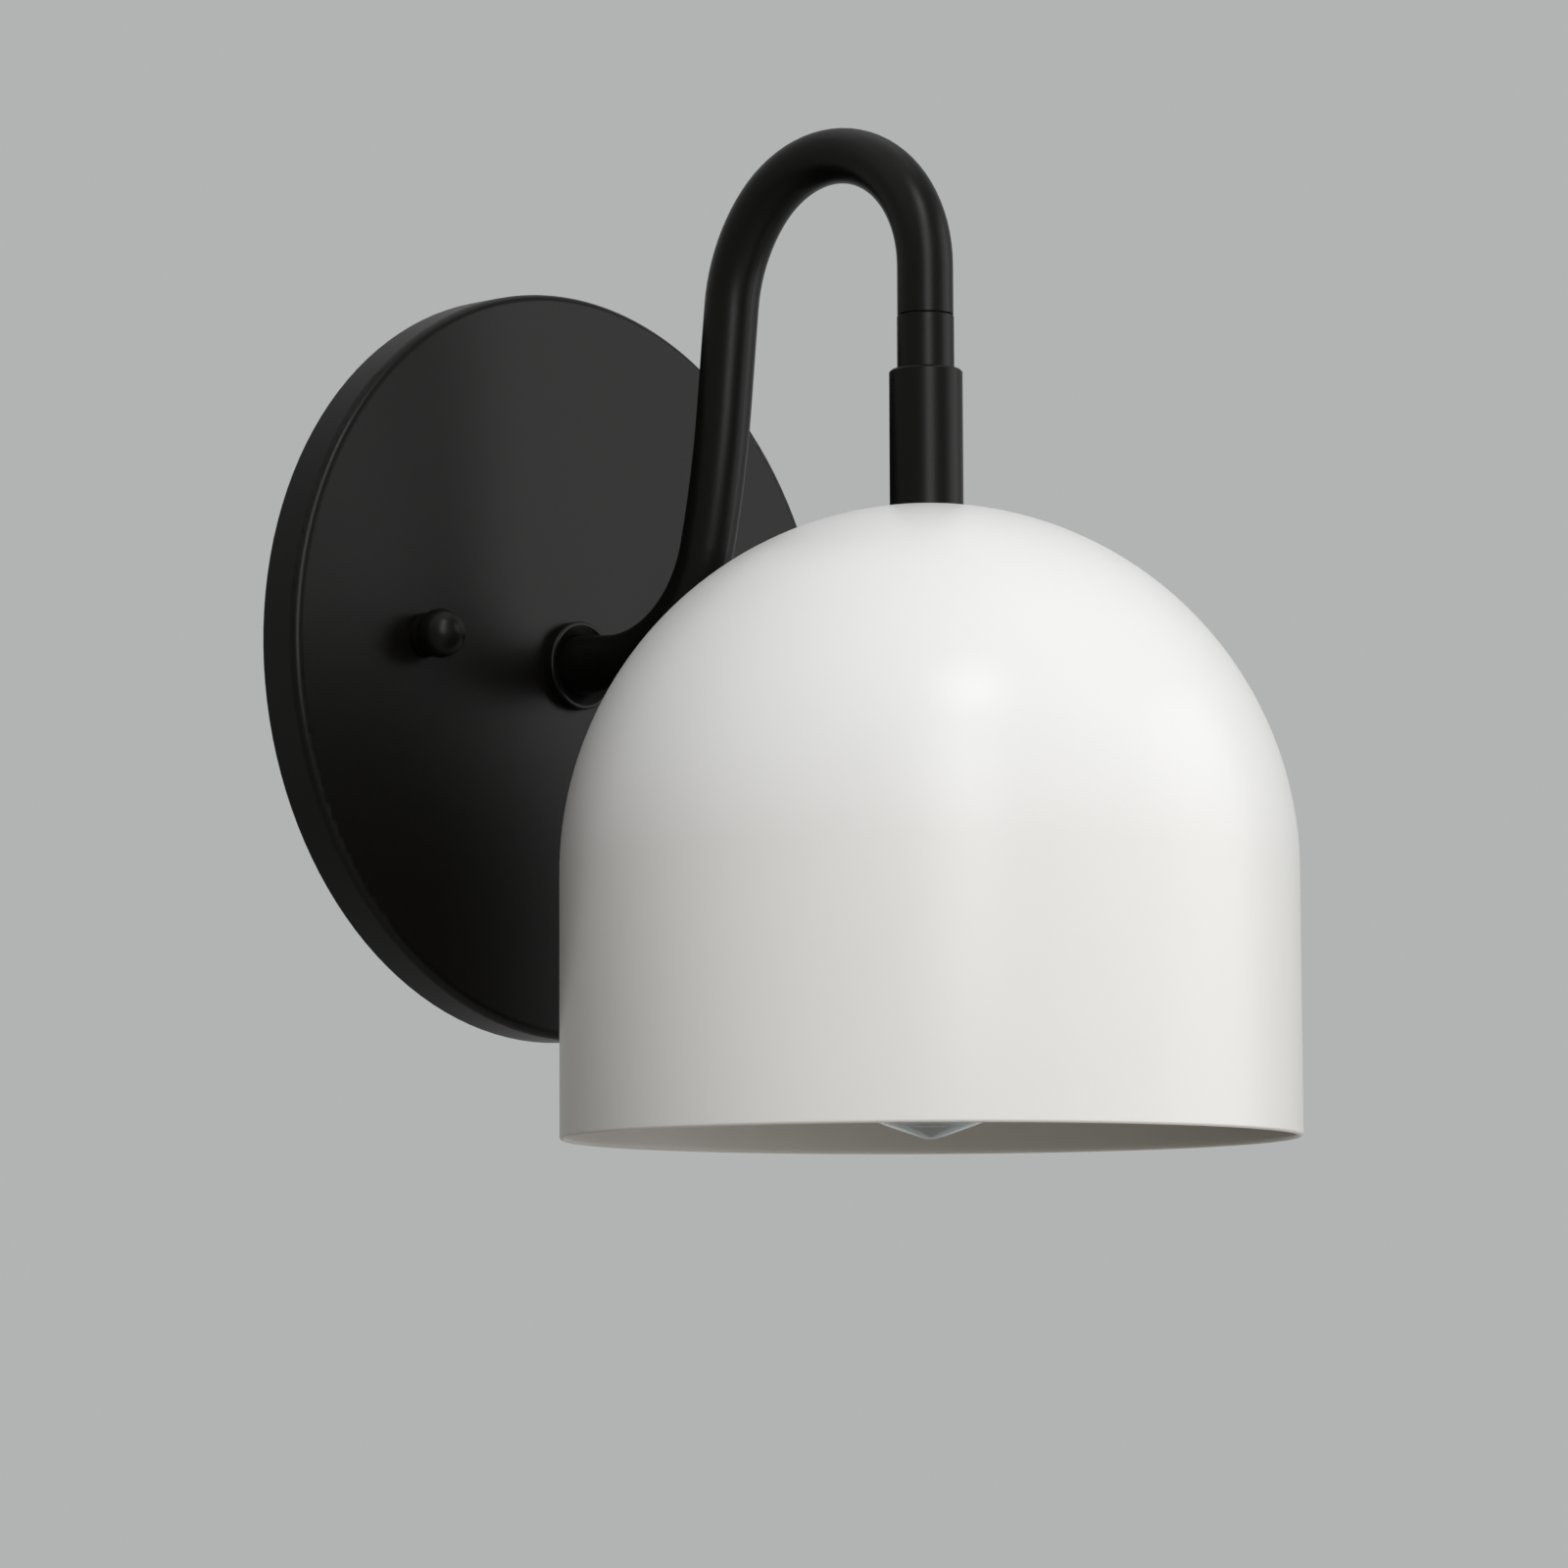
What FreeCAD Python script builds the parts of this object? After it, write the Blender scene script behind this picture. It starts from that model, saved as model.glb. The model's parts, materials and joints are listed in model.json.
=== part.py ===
import FreeCAD, Part
import math
import os

# Hanging pendant wall sconce, in millimetres.
# Origin: centre of the canopy on the wall plane. The wall is the plane y = 0, the light
# stands out of it towards -Y, and +Z is up. The bent arm lies in the plane x = 0.

# ---------------------------------------------------------------- driving dimensions
# wall canopy (a shallow pan of pressed steel)
canopy_radius = 88.9
canopy_depth = 11.1
canopy_wall = 1.2
canopy_edge_radius = 2.2

# mounting bracket behind the canopy, screwed to the junction box
bracket_thickness = 2.0
bracket_width = 24.0
bracket_half_length = 56.0
bracket_half_height = 53.0
bracket_corner_radius = 5.0
bracket_wire_hole_radius = 10.0
box_slot_spacing = 79.4
box_slot_length = 14.2
box_slot_width = 4.6

# studs, lock nuts and cap nuts that hold the canopy
stud_spacing = 98.0
stud_height = 3.0
stud_radius = 2.08
stud_engagement = 6.5
stud_tip_chamfer = 0.5
stud_hole_clearance = 0.45
stud_nut_flats = 8.7
stud_nut_height = 3.2
nut_washer_thickness = 0.6
nut_washer_radius = 4.7
cap_nut_radius = 5.2
cap_nut_dome_radius = 5.7
cap_nut_height = 10.6
cap_nut_bore_depth = 7.4
cap_nut_edge = 0.3

# ground screw in the bracket
ground_screw_radius = 2.0
ground_screw_head_radius = 4.2
ground_screw_head_height = 2.6
ground_screw_slot_width = 1.0
ground_screw_slot_depth = 1.1
ground_screw_drop = 21.0

# arm: a bent steel tube, given as a bender would give it
tube_radius = 6.35
tube_wall = 1.35
stub_run = 13.15
root_bend_radius = 31.4
root_bend_angle = 76.3
sweep_radius = 244.0
sweep_angle = 7.7
leg_run = 23.5
shoulder_radius = 37.7
shoulder_angle = 35.4
arch_radius = 29.35
drop_run = 11.2
root_radius = 7.2
root_taper_length = 13.0

# seat collar, nipple and nuts at the arm's root
collar_radius = 10.5
collar_height = 2.8
collar_edge_radius = 0.5
collar_rim_width = 0.4
collar_dish_depth = 1.4
nipple_radius = 5.0
nipple_bore_radius = 3.5
nipple_grip = 11.0
nipple_hole_clearance = 0.3
nipple_tail = 0.9
lock_washer_radius = 8.0
lock_washer_thickness = 1.0
lock_washer_split = 1.2
arm_nut_flats = 14.3
arm_nut_height = 3.2
bushing_flange_height = 0.8
bushing_sleeve_length = 6.0

# supply cable that runs inside the arm
cable_radius = 2.2
cable_tail = 0.6
core_radius = 0.9
core_offset = 1.1
core_bend_radius = 2.5

# swivel coupling at the arm's lower end
seam_gap = 0.2
swivel_washer_radius = 5.5
stem_plug_length = 10.0
spindle_radius = 4.2
spindle_length = 11.4
stem_bore_radius = 2.5
ring_radius = 6.45
ring_height = 12.5
ring_edge = 0.3
ring_web = 1.0
spigot_radius = 5.5
spigot_length = 8.0
stop_screw_radius = 1.5
stop_tip_radius = 1.0
stop_tip_length = 0.85
stop_screw_depth = 6.3
stop_screw_sink = 0.35
stop_screw_socket_radius = 0.75
stop_screw_socket_depth = 0.9
stop_groove_depth = 1.1
stop_key_half_width = 0.7

# neck tube on top of the shade
neck_radius = 8.3
neck_height = 31.5
neck_edge = 0.5
neck_foot_margin = 0.1

# shade: a spun dome with a straight skirt
shade_radius = 82.55
shade_wall = 1.2
shade_skirt = 59.45
shade_hem_height = 1.5
shade_hem_thickness = 1.5
shade_hole_clearance = 0.15

# nipple, washer and nut under the shade's crown
shade_nipple_grip = 10.0
shade_washer_thickness = 1.0
shade_nut_flats = 14.0
shade_nut_height = 3.5

# lampholder
cap_gap = 0.6
cap_radius = 17.5
cap_wall = 1.2
cap_height = 11.5
cap_hub_radius = 7.5
cap_hub_height = 4.0
cap_edge_radius = 2.5
body_lip_radius = 16.8
body_collar_height = 3.0
body_spigot_height = 5.0
body_depth = 38.0
floor_height = 10.0
shell_outer_radius = 14.1
shell_wall = 0.6
shell_length = 24.0
shell_throat_radius = 6.5
terminal_offset = 9.0
terminal_boss_radius = 3.0
terminal_screw_radius = 1.5
terminal_head_radius = 3.2
terminal_head_height = 2.0
terminal_slot_width = 0.9
terminal_slot_depth = 0.8
terminal_screw_bite = 5.0
contact_leaf_width = 5.0
contact_leaf_thickness = 0.6
contact_leaf_sink = 3.0
contact_button_radius = 2.5
contact_reach = 1.9

# lamp with a medium screw base and a clear bulb
bulb_length = 112.0
bulb_radius = 30.0
bulb_neck_radius = 12.8
bulb_neck_end = 32.0
bulb_tip_slope = 19.0
bulb_tip_radius = 5.0
bulb_glass_wall = 0.9
base_radius = 13.0
base_length = 24.0
base_wall = 0.4
base_thread_pitch = 3.63
base_thread_depth = 0.75
base_thread_count = 4
base_lip_radius = 9.1
insulator_height = 3.0
tip_contact_radius = 4.8
tip_contact_height = 1.5
stem_foot_height = 1.5
stem_rod_radius = 2.4
stem_flare_height = 14.0
stem_reach = 78.0
filament_count = 4
filament_radius = 0.9
filament_length = 30.0
filament_ring_radius = 8.0
filament_wire_radius = 0.25

# clearances
running_clearance = 0.05
face_clearance = 0.05
loose_clearance = 0.3
shell_clearance = 0.1
collar_clearance = 0.05

# ---------------------------------------------------------------- small helpers
ORIGIN = FreeCAD.Vector(0, 0, 0)
X_AXIS = FreeCAD.Vector(1, 0, 0)
Y_AXIS = FreeCAD.Vector(0, 1, 0)
Z_AXIS = FreeCAD.Vector(0, 0, 1)


def outline(start, *steps):
    """Closed outline of (r, z) corners; a step written (via, to) is an arc."""
    edges = []
    here = start
    for step in steps + (start,):
        if isinstance(step[0], tuple):
            via, to = step
            points = [FreeCAD.Vector(r, 0, z) for r, z in (here, via, to)]
            edges.append(Part.Arc(*points).toShape())
            here = to
        elif step != here:
            ends = [FreeCAD.Vector(r, 0, z) for r, z in (here, step)]
            edges.append(Part.LineSegment(*ends).toShape())
            here = step
    return Part.Wire(edges)


def turned(start, *steps):
    """Solid of revolution about Z from a closed outline."""
    return Part.Face(outline(start, *steps)).revolve(ORIGIN, Z_AXIS, 360)


def on_circle(centre, radius, degrees):
    """Point (r, z) on a circle, for arcs in an outline."""
    angle = math.radians(degrees)
    return (centre[0] + radius * math.cos(angle), centre[1] + radius * math.sin(angle))


def ring(inner, outer, low, high):
    """Plain washer or tube about Z."""
    return turned((inner, low), (outer, low), (outer, high), (inner, high))


def rod(radius, low, high):
    """Plain cylinder about Z."""
    return Part.makeCylinder(radius, high - low, FreeCAD.Vector(0, 0, low))


def hex_prism(flats, low, high, bore):
    """Hexagonal nut about Z, with turned corners and a plain bore."""
    corner = flats / math.sqrt(3)
    corners = []
    for index in range(7):
        angle = math.radians(60 * index)
        corners.append(FreeCAD.Vector(corner * math.cos(angle), corner * math.sin(angle), low))
    prism = Part.Face(Part.makePolygon(corners)).extrude(FreeCAD.Vector(0, 0, high - low))
    bevel = corner - flats / 2
    turned_corners = turned((0, low), (flats / 2, low), (corner, low + bevel / 2),
                            (corner, high - bevel / 2), (flats / 2, high), (0, high))
    return prism.common(turned_corners).cut(rod(bore, low - 1, high + 1))


def moved(shape, x, y, z):
    """Copy of a shape moved by x, y, z."""
    copy = shape.copy()
    copy.translate(FreeCAD.Vector(x, y, z))
    return copy


def out_of_wall(shape, x=0.0, z=0.0):
    """Turn a shape built along +Z so that it stands out of the wall, at x, z on it."""
    copy = shape.copy()
    copy.rotate(ORIGIN, X_AXIS, 90)
    copy.translate(FreeCAD.Vector(x, 0, z))
    return copy


def on_lamp_axis(shape):
    """Move a shape built about the Z axis onto the shade's axis."""
    return moved(shape, 0, lamp_y, 0)


def pipe(path, radius):
    """Round solid swept along a path of tangent straights and arcs."""
    first = path[0]
    start = first.valueAt(first.FirstParameter)
    heading = first.tangentAt(first.FirstParameter)
    section = Part.Wire([Part.Circle(start, heading, radius).toShape()])
    return Part.Wire(path).makePipeShell([section], True, False)


# ---------------------------------------------------------------- arm centreline
class Bender:
    """Walks the arm's centreline in the plane x = 0 and keeps its edges."""

    def __init__(self, out, up):
        self.out = out
        self.up = up
        self.heading = 0.0
        self.edges = []

    def place(self):
        return FreeCAD.Vector(0, -self.out, self.up)

    def straight(self, length):
        start = self.place()
        self.out += length * math.cos(math.radians(self.heading))
        self.up += length * math.sin(math.radians(self.heading))
        self.edges.append(Part.LineSegment(start, self.place()).toShape())

    def bend(self, radius, angle):
        """Turn up by a positive angle, down by a negative one, in degrees."""
        side = math.copysign(1.0, angle)
        start = self.place()
        toward = math.radians(self.heading + 90 * side)
        centre = (self.out + radius * math.cos(toward), self.up + radius * math.sin(toward))
        points = []
        for share in (0.5, 1.0):
            back = math.radians(self.heading + angle * share - 90 * side)
            points.append((centre[0] + radius * math.cos(back), centre[1] + radius * math.sin(back)))
        self.out, self.up = points[1]
        self.heading += angle
        via = FreeCAD.Vector(0, -points[0][0], points[0][1])
        self.edges.append(Part.Arc(start, via, self.place()).toShape())


def arm_path(lead_in, drop):
    """Centreline from lead_in before the bends to drop below the arch."""
    route = Bender(canopy_depth + stub_run - lead_in, 0.0)
    route.straight(lead_in)
    route.bend(root_bend_radius, root_bend_angle)
    route.bend(sweep_radius, sweep_angle)
    route.straight(leg_run)
    route.bend(shoulder_radius, -shoulder_angle)
    route.bend(arch_radius, -(route.heading + 90))
    route.straight(drop)
    return route


# ---------------------------------------------------------------- derived places
arm = arm_path(stub_run, drop_run)
lamp_y = -arm.out
arm_end_z = arm.up
bore_radius = tube_radius - tube_wall

bracket_front = bracket_thickness
stud_tip = canopy_depth + nut_washer_thickness + stud_engagement
canopy_back = canopy_depth - canopy_wall
arm_nut_front = canopy_back - lock_washer_thickness
arm_nut_back = arm_nut_front - arm_nut_height
nipple_end = arm_nut_back - nipple_tail

ring_top = arm_end_z - seam_gap
ring_bottom = ring_top - ring_height
spindle_end = arm_end_z - spindle_length
stop_z = ring_top - stop_screw_depth

seat_radius = neck_radius + neck_foot_margin
seat_z = ring_bottom - neck_height
dome_z = seat_z - math.sqrt(shade_radius ** 2 - seat_radius ** 2)
rim_z = dome_z - shade_skirt

shade_washer_top = seat_z - shade_wall
shade_nut_top = shade_washer_top - shade_washer_thickness
cap_top = shade_nut_top - shade_nut_height - cap_gap
cap_bottom = cap_top - cap_height
shade_nipple_end = cap_top - cap_wall - cap_hub_height
floor_top = cap_bottom
body_top = cap_bottom + body_spigot_height
body_bottom = cap_bottom - body_depth
floor_bottom = floor_top - floor_height
contact_z = floor_bottom - contact_reach
core_z = floor_top + core_radius
terminal_head_z = floor_top + 2 * core_radius
core_start_z = core_z + core_bend_radius + core_radius


# ---------------------------------------------------------------- wall side
def bracket_bar(half_length, half_width):
    """One bar of the cross, with rounded ends."""
    bar = Part.makeBox(2 * half_length, 2 * half_width, bracket_thickness,
                       FreeCAD.Vector(-half_length, -half_width, 0))
    upright = [edge for edge in bar.Edges if abs(edge.tangentAt(edge.FirstParameter).z) > 0.5]
    return bar.makeFillet(bracket_corner_radius, upright)


def mounting_bracket():
    """Cross-shaped strap: slots for the box screws, tapped holes for studs and ground screw."""
    plate = bracket_bar(bracket_half_length, bracket_width / 2)
    plate = plate.fuse(bracket_bar(bracket_width / 2, bracket_half_height)).removeSplitter()
    plate = plate.cut(rod(bracket_wire_hole_radius, -1, bracket_thickness + 1))
    for side in (-1, 1):
        hole = rod(stud_radius, -1, bracket_thickness + 1)
        plate = plate.cut(moved(hole, side * stud_spacing / 2, stud_height, 0))
        plate = plate.cut(box_slot(side * box_slot_spacing / 2))
    hole = rod(ground_screw_radius, -1, bracket_thickness + 1)
    plate = plate.cut(moved(hole, 0, -ground_screw_drop, 0))
    return out_of_wall(plate)


def box_slot(height):
    """Upright slot for a junction-box screw, centred at a height on the bracket."""
    half_run = (box_slot_length - box_slot_width) / 2
    low = height - half_run
    slot = Part.makeBox(box_slot_width, 2 * half_run, bracket_thickness + 2,
                        FreeCAD.Vector(-box_slot_width / 2, low, -1))
    for end in (low, height + half_run):
        slot = slot.fuse(moved(rod(box_slot_width / 2, -1, bracket_thickness + 1), 0, end, 0))
    return slot


def both_studs(shape):
    """A shape repeated on the left and the right stud, as separate solids."""
    pair = [out_of_wall(shape, side * stud_spacing / 2, stud_height) for side in (-1, 1)]
    return Part.makeCompound(pair)


def bracket_studs():
    tip = stud_radius - stud_tip_chamfer
    stud = turned((0, 0), (stud_radius, 0), (stud_radius, stud_tip - stud_tip_chamfer),
                  (tip, stud_tip), (0, stud_tip))
    return both_studs(stud)


def stud_lock_nuts():
    nut = hex_prism(stud_nut_flats, bracket_front, bracket_front + stud_nut_height, stud_radius)
    return both_studs(nut)


def ground_screw():
    """Slotted screw in the bracket's tapped hole."""
    head_top = bracket_front + ground_screw_head_height
    screw = rod(ground_screw_radius, 0, bracket_front)
    screw = screw.fuse(rod(ground_screw_head_radius, bracket_front, head_top))
    slot = Part.makeBox(4 * ground_screw_head_radius, ground_screw_slot_width, ground_screw_slot_depth + 1,
                        FreeCAD.Vector(-2 * ground_screw_head_radius, -ground_screw_slot_width / 2,
                                       head_top - ground_screw_slot_depth))
    return out_of_wall(screw.cut(slot).removeSplitter(), 0, -ground_screw_drop)


def canopy():
    """Pressed pan with a small rounded front edge."""
    edge_r = canopy_radius - canopy_edge_radius
    edge_z = canopy_depth - canopy_edge_radius
    inner = canopy_radius - canopy_wall
    hole = nipple_radius + nipple_hole_clearance
    pan = turned((canopy_radius, 0), (canopy_radius, edge_z),
                 (on_circle((edge_r, edge_z), canopy_edge_radius, 45), (edge_r, canopy_depth)),
                 (hole, canopy_depth), (hole, canopy_back), (inner, canopy_back), (inner, 0))
    for side in (-1, 1):
        bore = rod(stud_radius + stud_hole_clearance, canopy_back - 1, canopy_depth + 1)
        pan = pan.cut(moved(bore, side * stud_spacing / 2, stud_height, 0))
    return out_of_wall(pan)


def nut_washer(side):
    """Thin washer between the canopy and a cap nut; it turns with the nut."""
    low = canopy_depth + face_clearance
    washer = ring(stud_radius + running_clearance, nut_washer_radius, low,
                  canopy_depth + nut_washer_thickness)
    return out_of_wall(washer, side * stud_spacing / 2, stud_height)


def cap_nut(side):
    """Blind cap nut: a short barrel with a ball-shaped end."""
    bore = stud_radius + running_clearance
    centre = (0.0, cap_nut_height - cap_nut_dome_radius)
    spread = min(cap_nut_radius / cap_nut_dome_radius, 1.0)
    start = -math.degrees(math.acos(spread))
    join = on_circle(centre, cap_nut_dome_radius, start)
    nut = turned((bore, 0), (cap_nut_radius - cap_nut_edge, 0), (cap_nut_radius, cap_nut_edge),
                 (cap_nut_radius, join[1]), join,
                 (on_circle(centre, cap_nut_dome_radius, (start + 90) / 2), (0, cap_nut_height)),
                 (0, cap_nut_bore_depth), (bore, cap_nut_bore_depth))
    seated = moved(nut, 0, 0, canopy_depth + nut_washer_thickness)
    return out_of_wall(seated, side * stud_spacing / 2, stud_height)


# ---------------------------------------------------------------- arm
def arm_tube():
    """Bent tube, thicker at its root, where it tapers into the plain tube."""
    taper_end = canopy_depth + root_taper_length
    cone = turned((0, canopy_depth), (root_radius, canopy_depth), (tube_radius, taper_end), (0, taper_end))
    outside = pipe(arm.edges, tube_radius).fuse(out_of_wall(cone))
    return outside.cut(pipe(arm.edges, bore_radius)).removeSplitter()


def arm_collar():
    """Seat ring round the arm's root, dished from its rim down to the arm."""
    bore = root_radius + collar_clearance
    top = canopy_depth + collar_height
    rim = collar_radius - collar_edge_radius
    collar = turned((bore, canopy_depth), (collar_radius, canopy_depth),
                    (collar_radius, top - collar_edge_radius),
                    (on_circle((rim, top - collar_edge_radius), collar_edge_radius, 45), (rim, top)),
                    (rim - collar_rim_width, top), (bore, top - collar_dish_depth))
    return out_of_wall(collar)


def arm_nipple():
    """Hollow threaded nipple that ties the arm to the canopy."""
    return out_of_wall(ring(nipple_bore_radius, nipple_radius, nipple_end, canopy_depth + nipple_grip))


def arm_lock_washer():
    """Split spring washer under the arm's nut."""
    washer = ring(nipple_radius, lock_washer_radius, arm_nut_front, canopy_back)
    split = Part.makeBox(2 * lock_washer_radius, lock_washer_split, 2 * lock_washer_thickness,
                         FreeCAD.Vector(0, -lock_washer_split / 2, arm_nut_front - lock_washer_thickness / 2))
    return out_of_wall(washer.cut(split))


def arm_hex_nut():
    return out_of_wall(hex_prism(arm_nut_flats, arm_nut_back, arm_nut_front, nipple_radius))


def wire_bushing():
    """Plastic bushing in the nipple's rear end, so that no edge cuts the cable."""
    bore = cable_radius
    back = nipple_end - bushing_flange_height
    front = nipple_end + bushing_sleeve_length
    bushing = turned((bore, back), (nipple_radius, back), (nipple_radius, nipple_end),
                     (nipple_bore_radius, nipple_end), (nipple_bore_radius, front), (bore, front))
    return out_of_wall(bushing)


def supply_cable():
    """Round two-core cable from the canopy, through arm, swivel and neck, to the lampholder."""
    start = nipple_end - bushing_flange_height - cable_tail
    end_z = core_start_z + loose_clearance
    route = arm_path(canopy_depth + stub_run - start, drop_run + arm_end_z - end_z)
    cable = pipe(route.edges, cable_radius)
    length = sum(edge.Length for edge in route.edges)
    print("supply cable %.1f mm long, volume over section times length %.5f"
          % (length, cable.Volume / (math.pi * cable_radius ** 2 * length)))
    return cable


# ---------------------------------------------------------------- swivel and neck
def swivel_stem():
    """Brass stem in the arm's end: the head turns on its spindle, and a key stops it."""
    stem = turned((stem_bore_radius, spindle_end), (spindle_radius, spindle_end),
                  (spindle_radius, arm_end_z), (bore_radius, arm_end_z),
                  (bore_radius, arm_end_z + stem_plug_length),
                  (stem_bore_radius, arm_end_z + stem_plug_length))
    half = stop_tip_radius + loose_clearance
    groove = ring(spindle_radius - stop_groove_depth, spindle_radius + 1, stop_z - half, stop_z + half)
    key = Part.makeBox(2 * stop_key_half_width, 2 * spindle_radius, 4 * half,
                       FreeCAD.Vector(-stop_key_half_width, -2 * spindle_radius, stop_z - 2 * half))
    return on_lamp_axis(stem.cut(groove.cut(key)).removeSplitter())


def swivel_washer():
    """Thin washer in the seam between the arm and the swivel ring."""
    low = ring_top + face_clearance
    return on_lamp_axis(ring(spindle_radius, swivel_washer_radius, low, arm_end_z))


def swivel_ring():
    """Turning half of the swivel, screwed into the neck by its spigot."""
    bore = spindle_radius + running_clearance
    web_top = ring_bottom + ring_web
    passage = cable_radius + loose_clearance
    low = ring_bottom - spigot_length
    body = turned((passage, low), (spigot_radius, low), (spigot_radius, ring_bottom),
                  (ring_radius - ring_edge, ring_bottom), (ring_radius, ring_bottom + ring_edge),
                  (ring_radius, ring_top - ring_edge), (ring_radius - ring_edge, ring_top),
                  (bore, ring_top), (bore, web_top), (passage, web_top))
    hole = Part.makeCylinder(stop_screw_radius, 2 * ring_radius, FreeCAD.Vector(0, 0, stop_z), Y_AXIS)
    return on_lamp_axis(body.cut(hole))


def swivel_stop_screw():
    """Grub screw with a dog point that runs in the stem's groove and meets its key."""
    outer = ring_radius - stop_screw_sink
    tip_end = spindle_radius - stop_groove_depth + loose_clearance
    shoulder = tip_end + stop_tip_length
    hex_floor = outer - stop_screw_socket_depth
    screw = turned((0, tip_end), (stop_tip_radius, tip_end), (stop_tip_radius, shoulder),
                   (stop_screw_radius, shoulder), (stop_screw_radius, outer),
                   (stop_screw_socket_radius, outer), (stop_screw_socket_radius, hex_floor),
                   (0, hex_floor))
    screw.rotate(ORIGIN, X_AXIS, -90)
    return on_lamp_axis(moved(screw, 0, 0, stop_z))


def neck_tube():
    """Turned neck between the swivel and the shade."""
    counterbore = ring_bottom - spigot_length - running_clearance
    neck = turned((nipple_radius, seat_z), (neck_radius, seat_z), (neck_radius, ring_bottom - neck_edge),
                  (neck_radius - neck_edge, ring_bottom), (spigot_radius, ring_bottom),
                  (spigot_radius, counterbore), (nipple_radius, counterbore))
    return on_lamp_axis(neck)


# ---------------------------------------------------------------- shade
def shade():
    """Spun dome with a flat seat under the neck, a straight skirt and a rolled hem."""
    hole = nipple_radius + shade_hole_clearance
    centre = (0.0, dome_z)
    inner_radius = shade_radius - shade_wall
    inner_seat_z = seat_z - shade_wall
    inner_seat_radius = math.sqrt(inner_radius ** 2 - (inner_seat_z - dome_z) ** 2)
    outer_start = math.degrees(math.acos(seat_radius / shade_radius))
    inner_start = math.degrees(math.acos(inner_seat_radius / inner_radius))
    hem_round = shade_hem_thickness / 2
    hem_centre = (shade_radius - hem_round, rim_z + hem_round)
    hem_inner = shade_radius - shade_hem_thickness
    hem_top = rim_z + shade_hem_height
    spun = turned((hole, seat_z), (seat_radius, seat_z),
                  (on_circle(centre, shade_radius, outer_start / 2), (shade_radius, dome_z)),
                  (shade_radius, hem_centre[1]),
                  (on_circle(hem_centre, hem_round, -90), (hem_inner, hem_centre[1])),
                  (hem_inner, hem_top), (inner_radius, hem_top + shade_hem_thickness - shade_wall),
                  (inner_radius, dome_z),
                  (on_circle(centre, inner_radius, inner_start / 2), (inner_seat_radius, inner_seat_z)),
                  (hole, inner_seat_z))
    return on_lamp_axis(spun)


def shade_nipple():
    """Hollow nipple through the neck's foot, the shade and the lampholder's cap."""
    return on_lamp_axis(ring(nipple_bore_radius, nipple_radius, shade_nipple_end,
                             seat_z + shade_nipple_grip))


def shade_washer():
    return on_lamp_axis(ring(nipple_radius, neck_radius, shade_nut_top, shade_washer_top))


def shade_lock_nut():
    low = shade_nut_top - shade_nut_height
    return on_lamp_axis(hex_prism(shade_nut_flats, low, shade_nut_top, nipple_radius))


# ---------------------------------------------------------------- lampholder
def socket_cap():
    """Cup on the nipple that covers the terminals."""
    inner = cap_radius - cap_wall
    inside = cap_top - cap_wall
    hub_end = inside - cap_hub_height
    round_centre = (cap_radius - cap_edge_radius, cap_top - cap_edge_radius)
    cup = turned((nipple_radius, cap_top), (cap_radius - cap_edge_radius, cap_top),
                 (on_circle(round_centre, cap_edge_radius, 45), (cap_radius, cap_top - cap_edge_radius)),
                 (cap_radius, cap_bottom), (inner, cap_bottom), (inner, inside),
                 (cap_hub_radius, inside), (cap_hub_radius, hub_end), (nipple_radius, hub_end))
    return on_lamp_axis(cup)


def socket_body():
    """Moulded insulator that carries the screw shell, the contact and the terminals."""
    spigot = cap_radius - cap_wall
    collar_low = floor_top - body_collar_height
    wall = body_top
    pocket = spigot - 2 * cap_wall
    bore = shell_outer_radius + shell_clearance
    body = turned((0, floor_top), (pocket, floor_top), (pocket, wall), (spigot, wall),
                  (spigot, cap_bottom), (cap_radius, cap_bottom), (cap_radius, collar_low),
                  (body_lip_radius, collar_low), (body_lip_radius, body_bottom), (bore, body_bottom),
                  (bore, floor_bottom), (0, floor_bottom))
    for side in (-1, 1):
        boss = rod(terminal_boss_radius, floor_bottom - 1, floor_top + 1)
        body = body.cut(moved(boss, side * terminal_offset, 0, 0))
    slot_start = contact_button_radius + shell_clearance
    slot_width = contact_leaf_width + 2 * shell_clearance
    slot = Part.makeBox(slot_start + terminal_offset, slot_width, contact_leaf_sink,
                        FreeCAD.Vector(-slot_start, -slot_width / 2, floor_bottom))
    return on_lamp_axis(body.cut(slot).removeSplitter())


def terminal_hole(side):
    hole = rod(terminal_screw_radius, floor_top - terminal_screw_bite, floor_top + 1)
    return moved(hole, side * terminal_offset, 0, 0)


def screw_shell():
    """Threaded shell for the lamp's base, with the boss of the neutral terminal."""
    inner = shell_outer_radius - shell_wall
    flange = floor_bottom - shell_wall
    shell = turned((shell_throat_radius, flange), (inner, flange),
                   (inner, floor_bottom - shell_length), (shell_outer_radius, floor_bottom - shell_length),
                   (shell_outer_radius, floor_bottom), (shell_throat_radius, floor_bottom))
    boss = moved(rod(terminal_boss_radius, floor_bottom - shell_wall / 2, floor_top), -terminal_offset, 0, 0)
    return on_lamp_axis(shell.fuse(boss).cut(terminal_hole(-1)).removeSplitter())


def centre_contact():
    """Tapped boss, leaf and button that feed the lamp's tip."""
    leaf_top = floor_bottom + contact_leaf_sink
    leaf_low = leaf_top - contact_leaf_thickness
    leaf = Part.makeBox(terminal_offset + contact_button_radius, contact_leaf_width, contact_leaf_thickness,
                        FreeCAD.Vector(-contact_button_radius, -contact_leaf_width / 2, leaf_low))
    boss = moved(rod(terminal_boss_radius, leaf_low, floor_top), terminal_offset, 0, 0)
    button = rod(contact_button_radius, contact_z + loose_clearance, leaf_top)
    return on_lamp_axis(leaf.fuse(boss).fuse(button).cut(terminal_hole(1)).removeSplitter())


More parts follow.
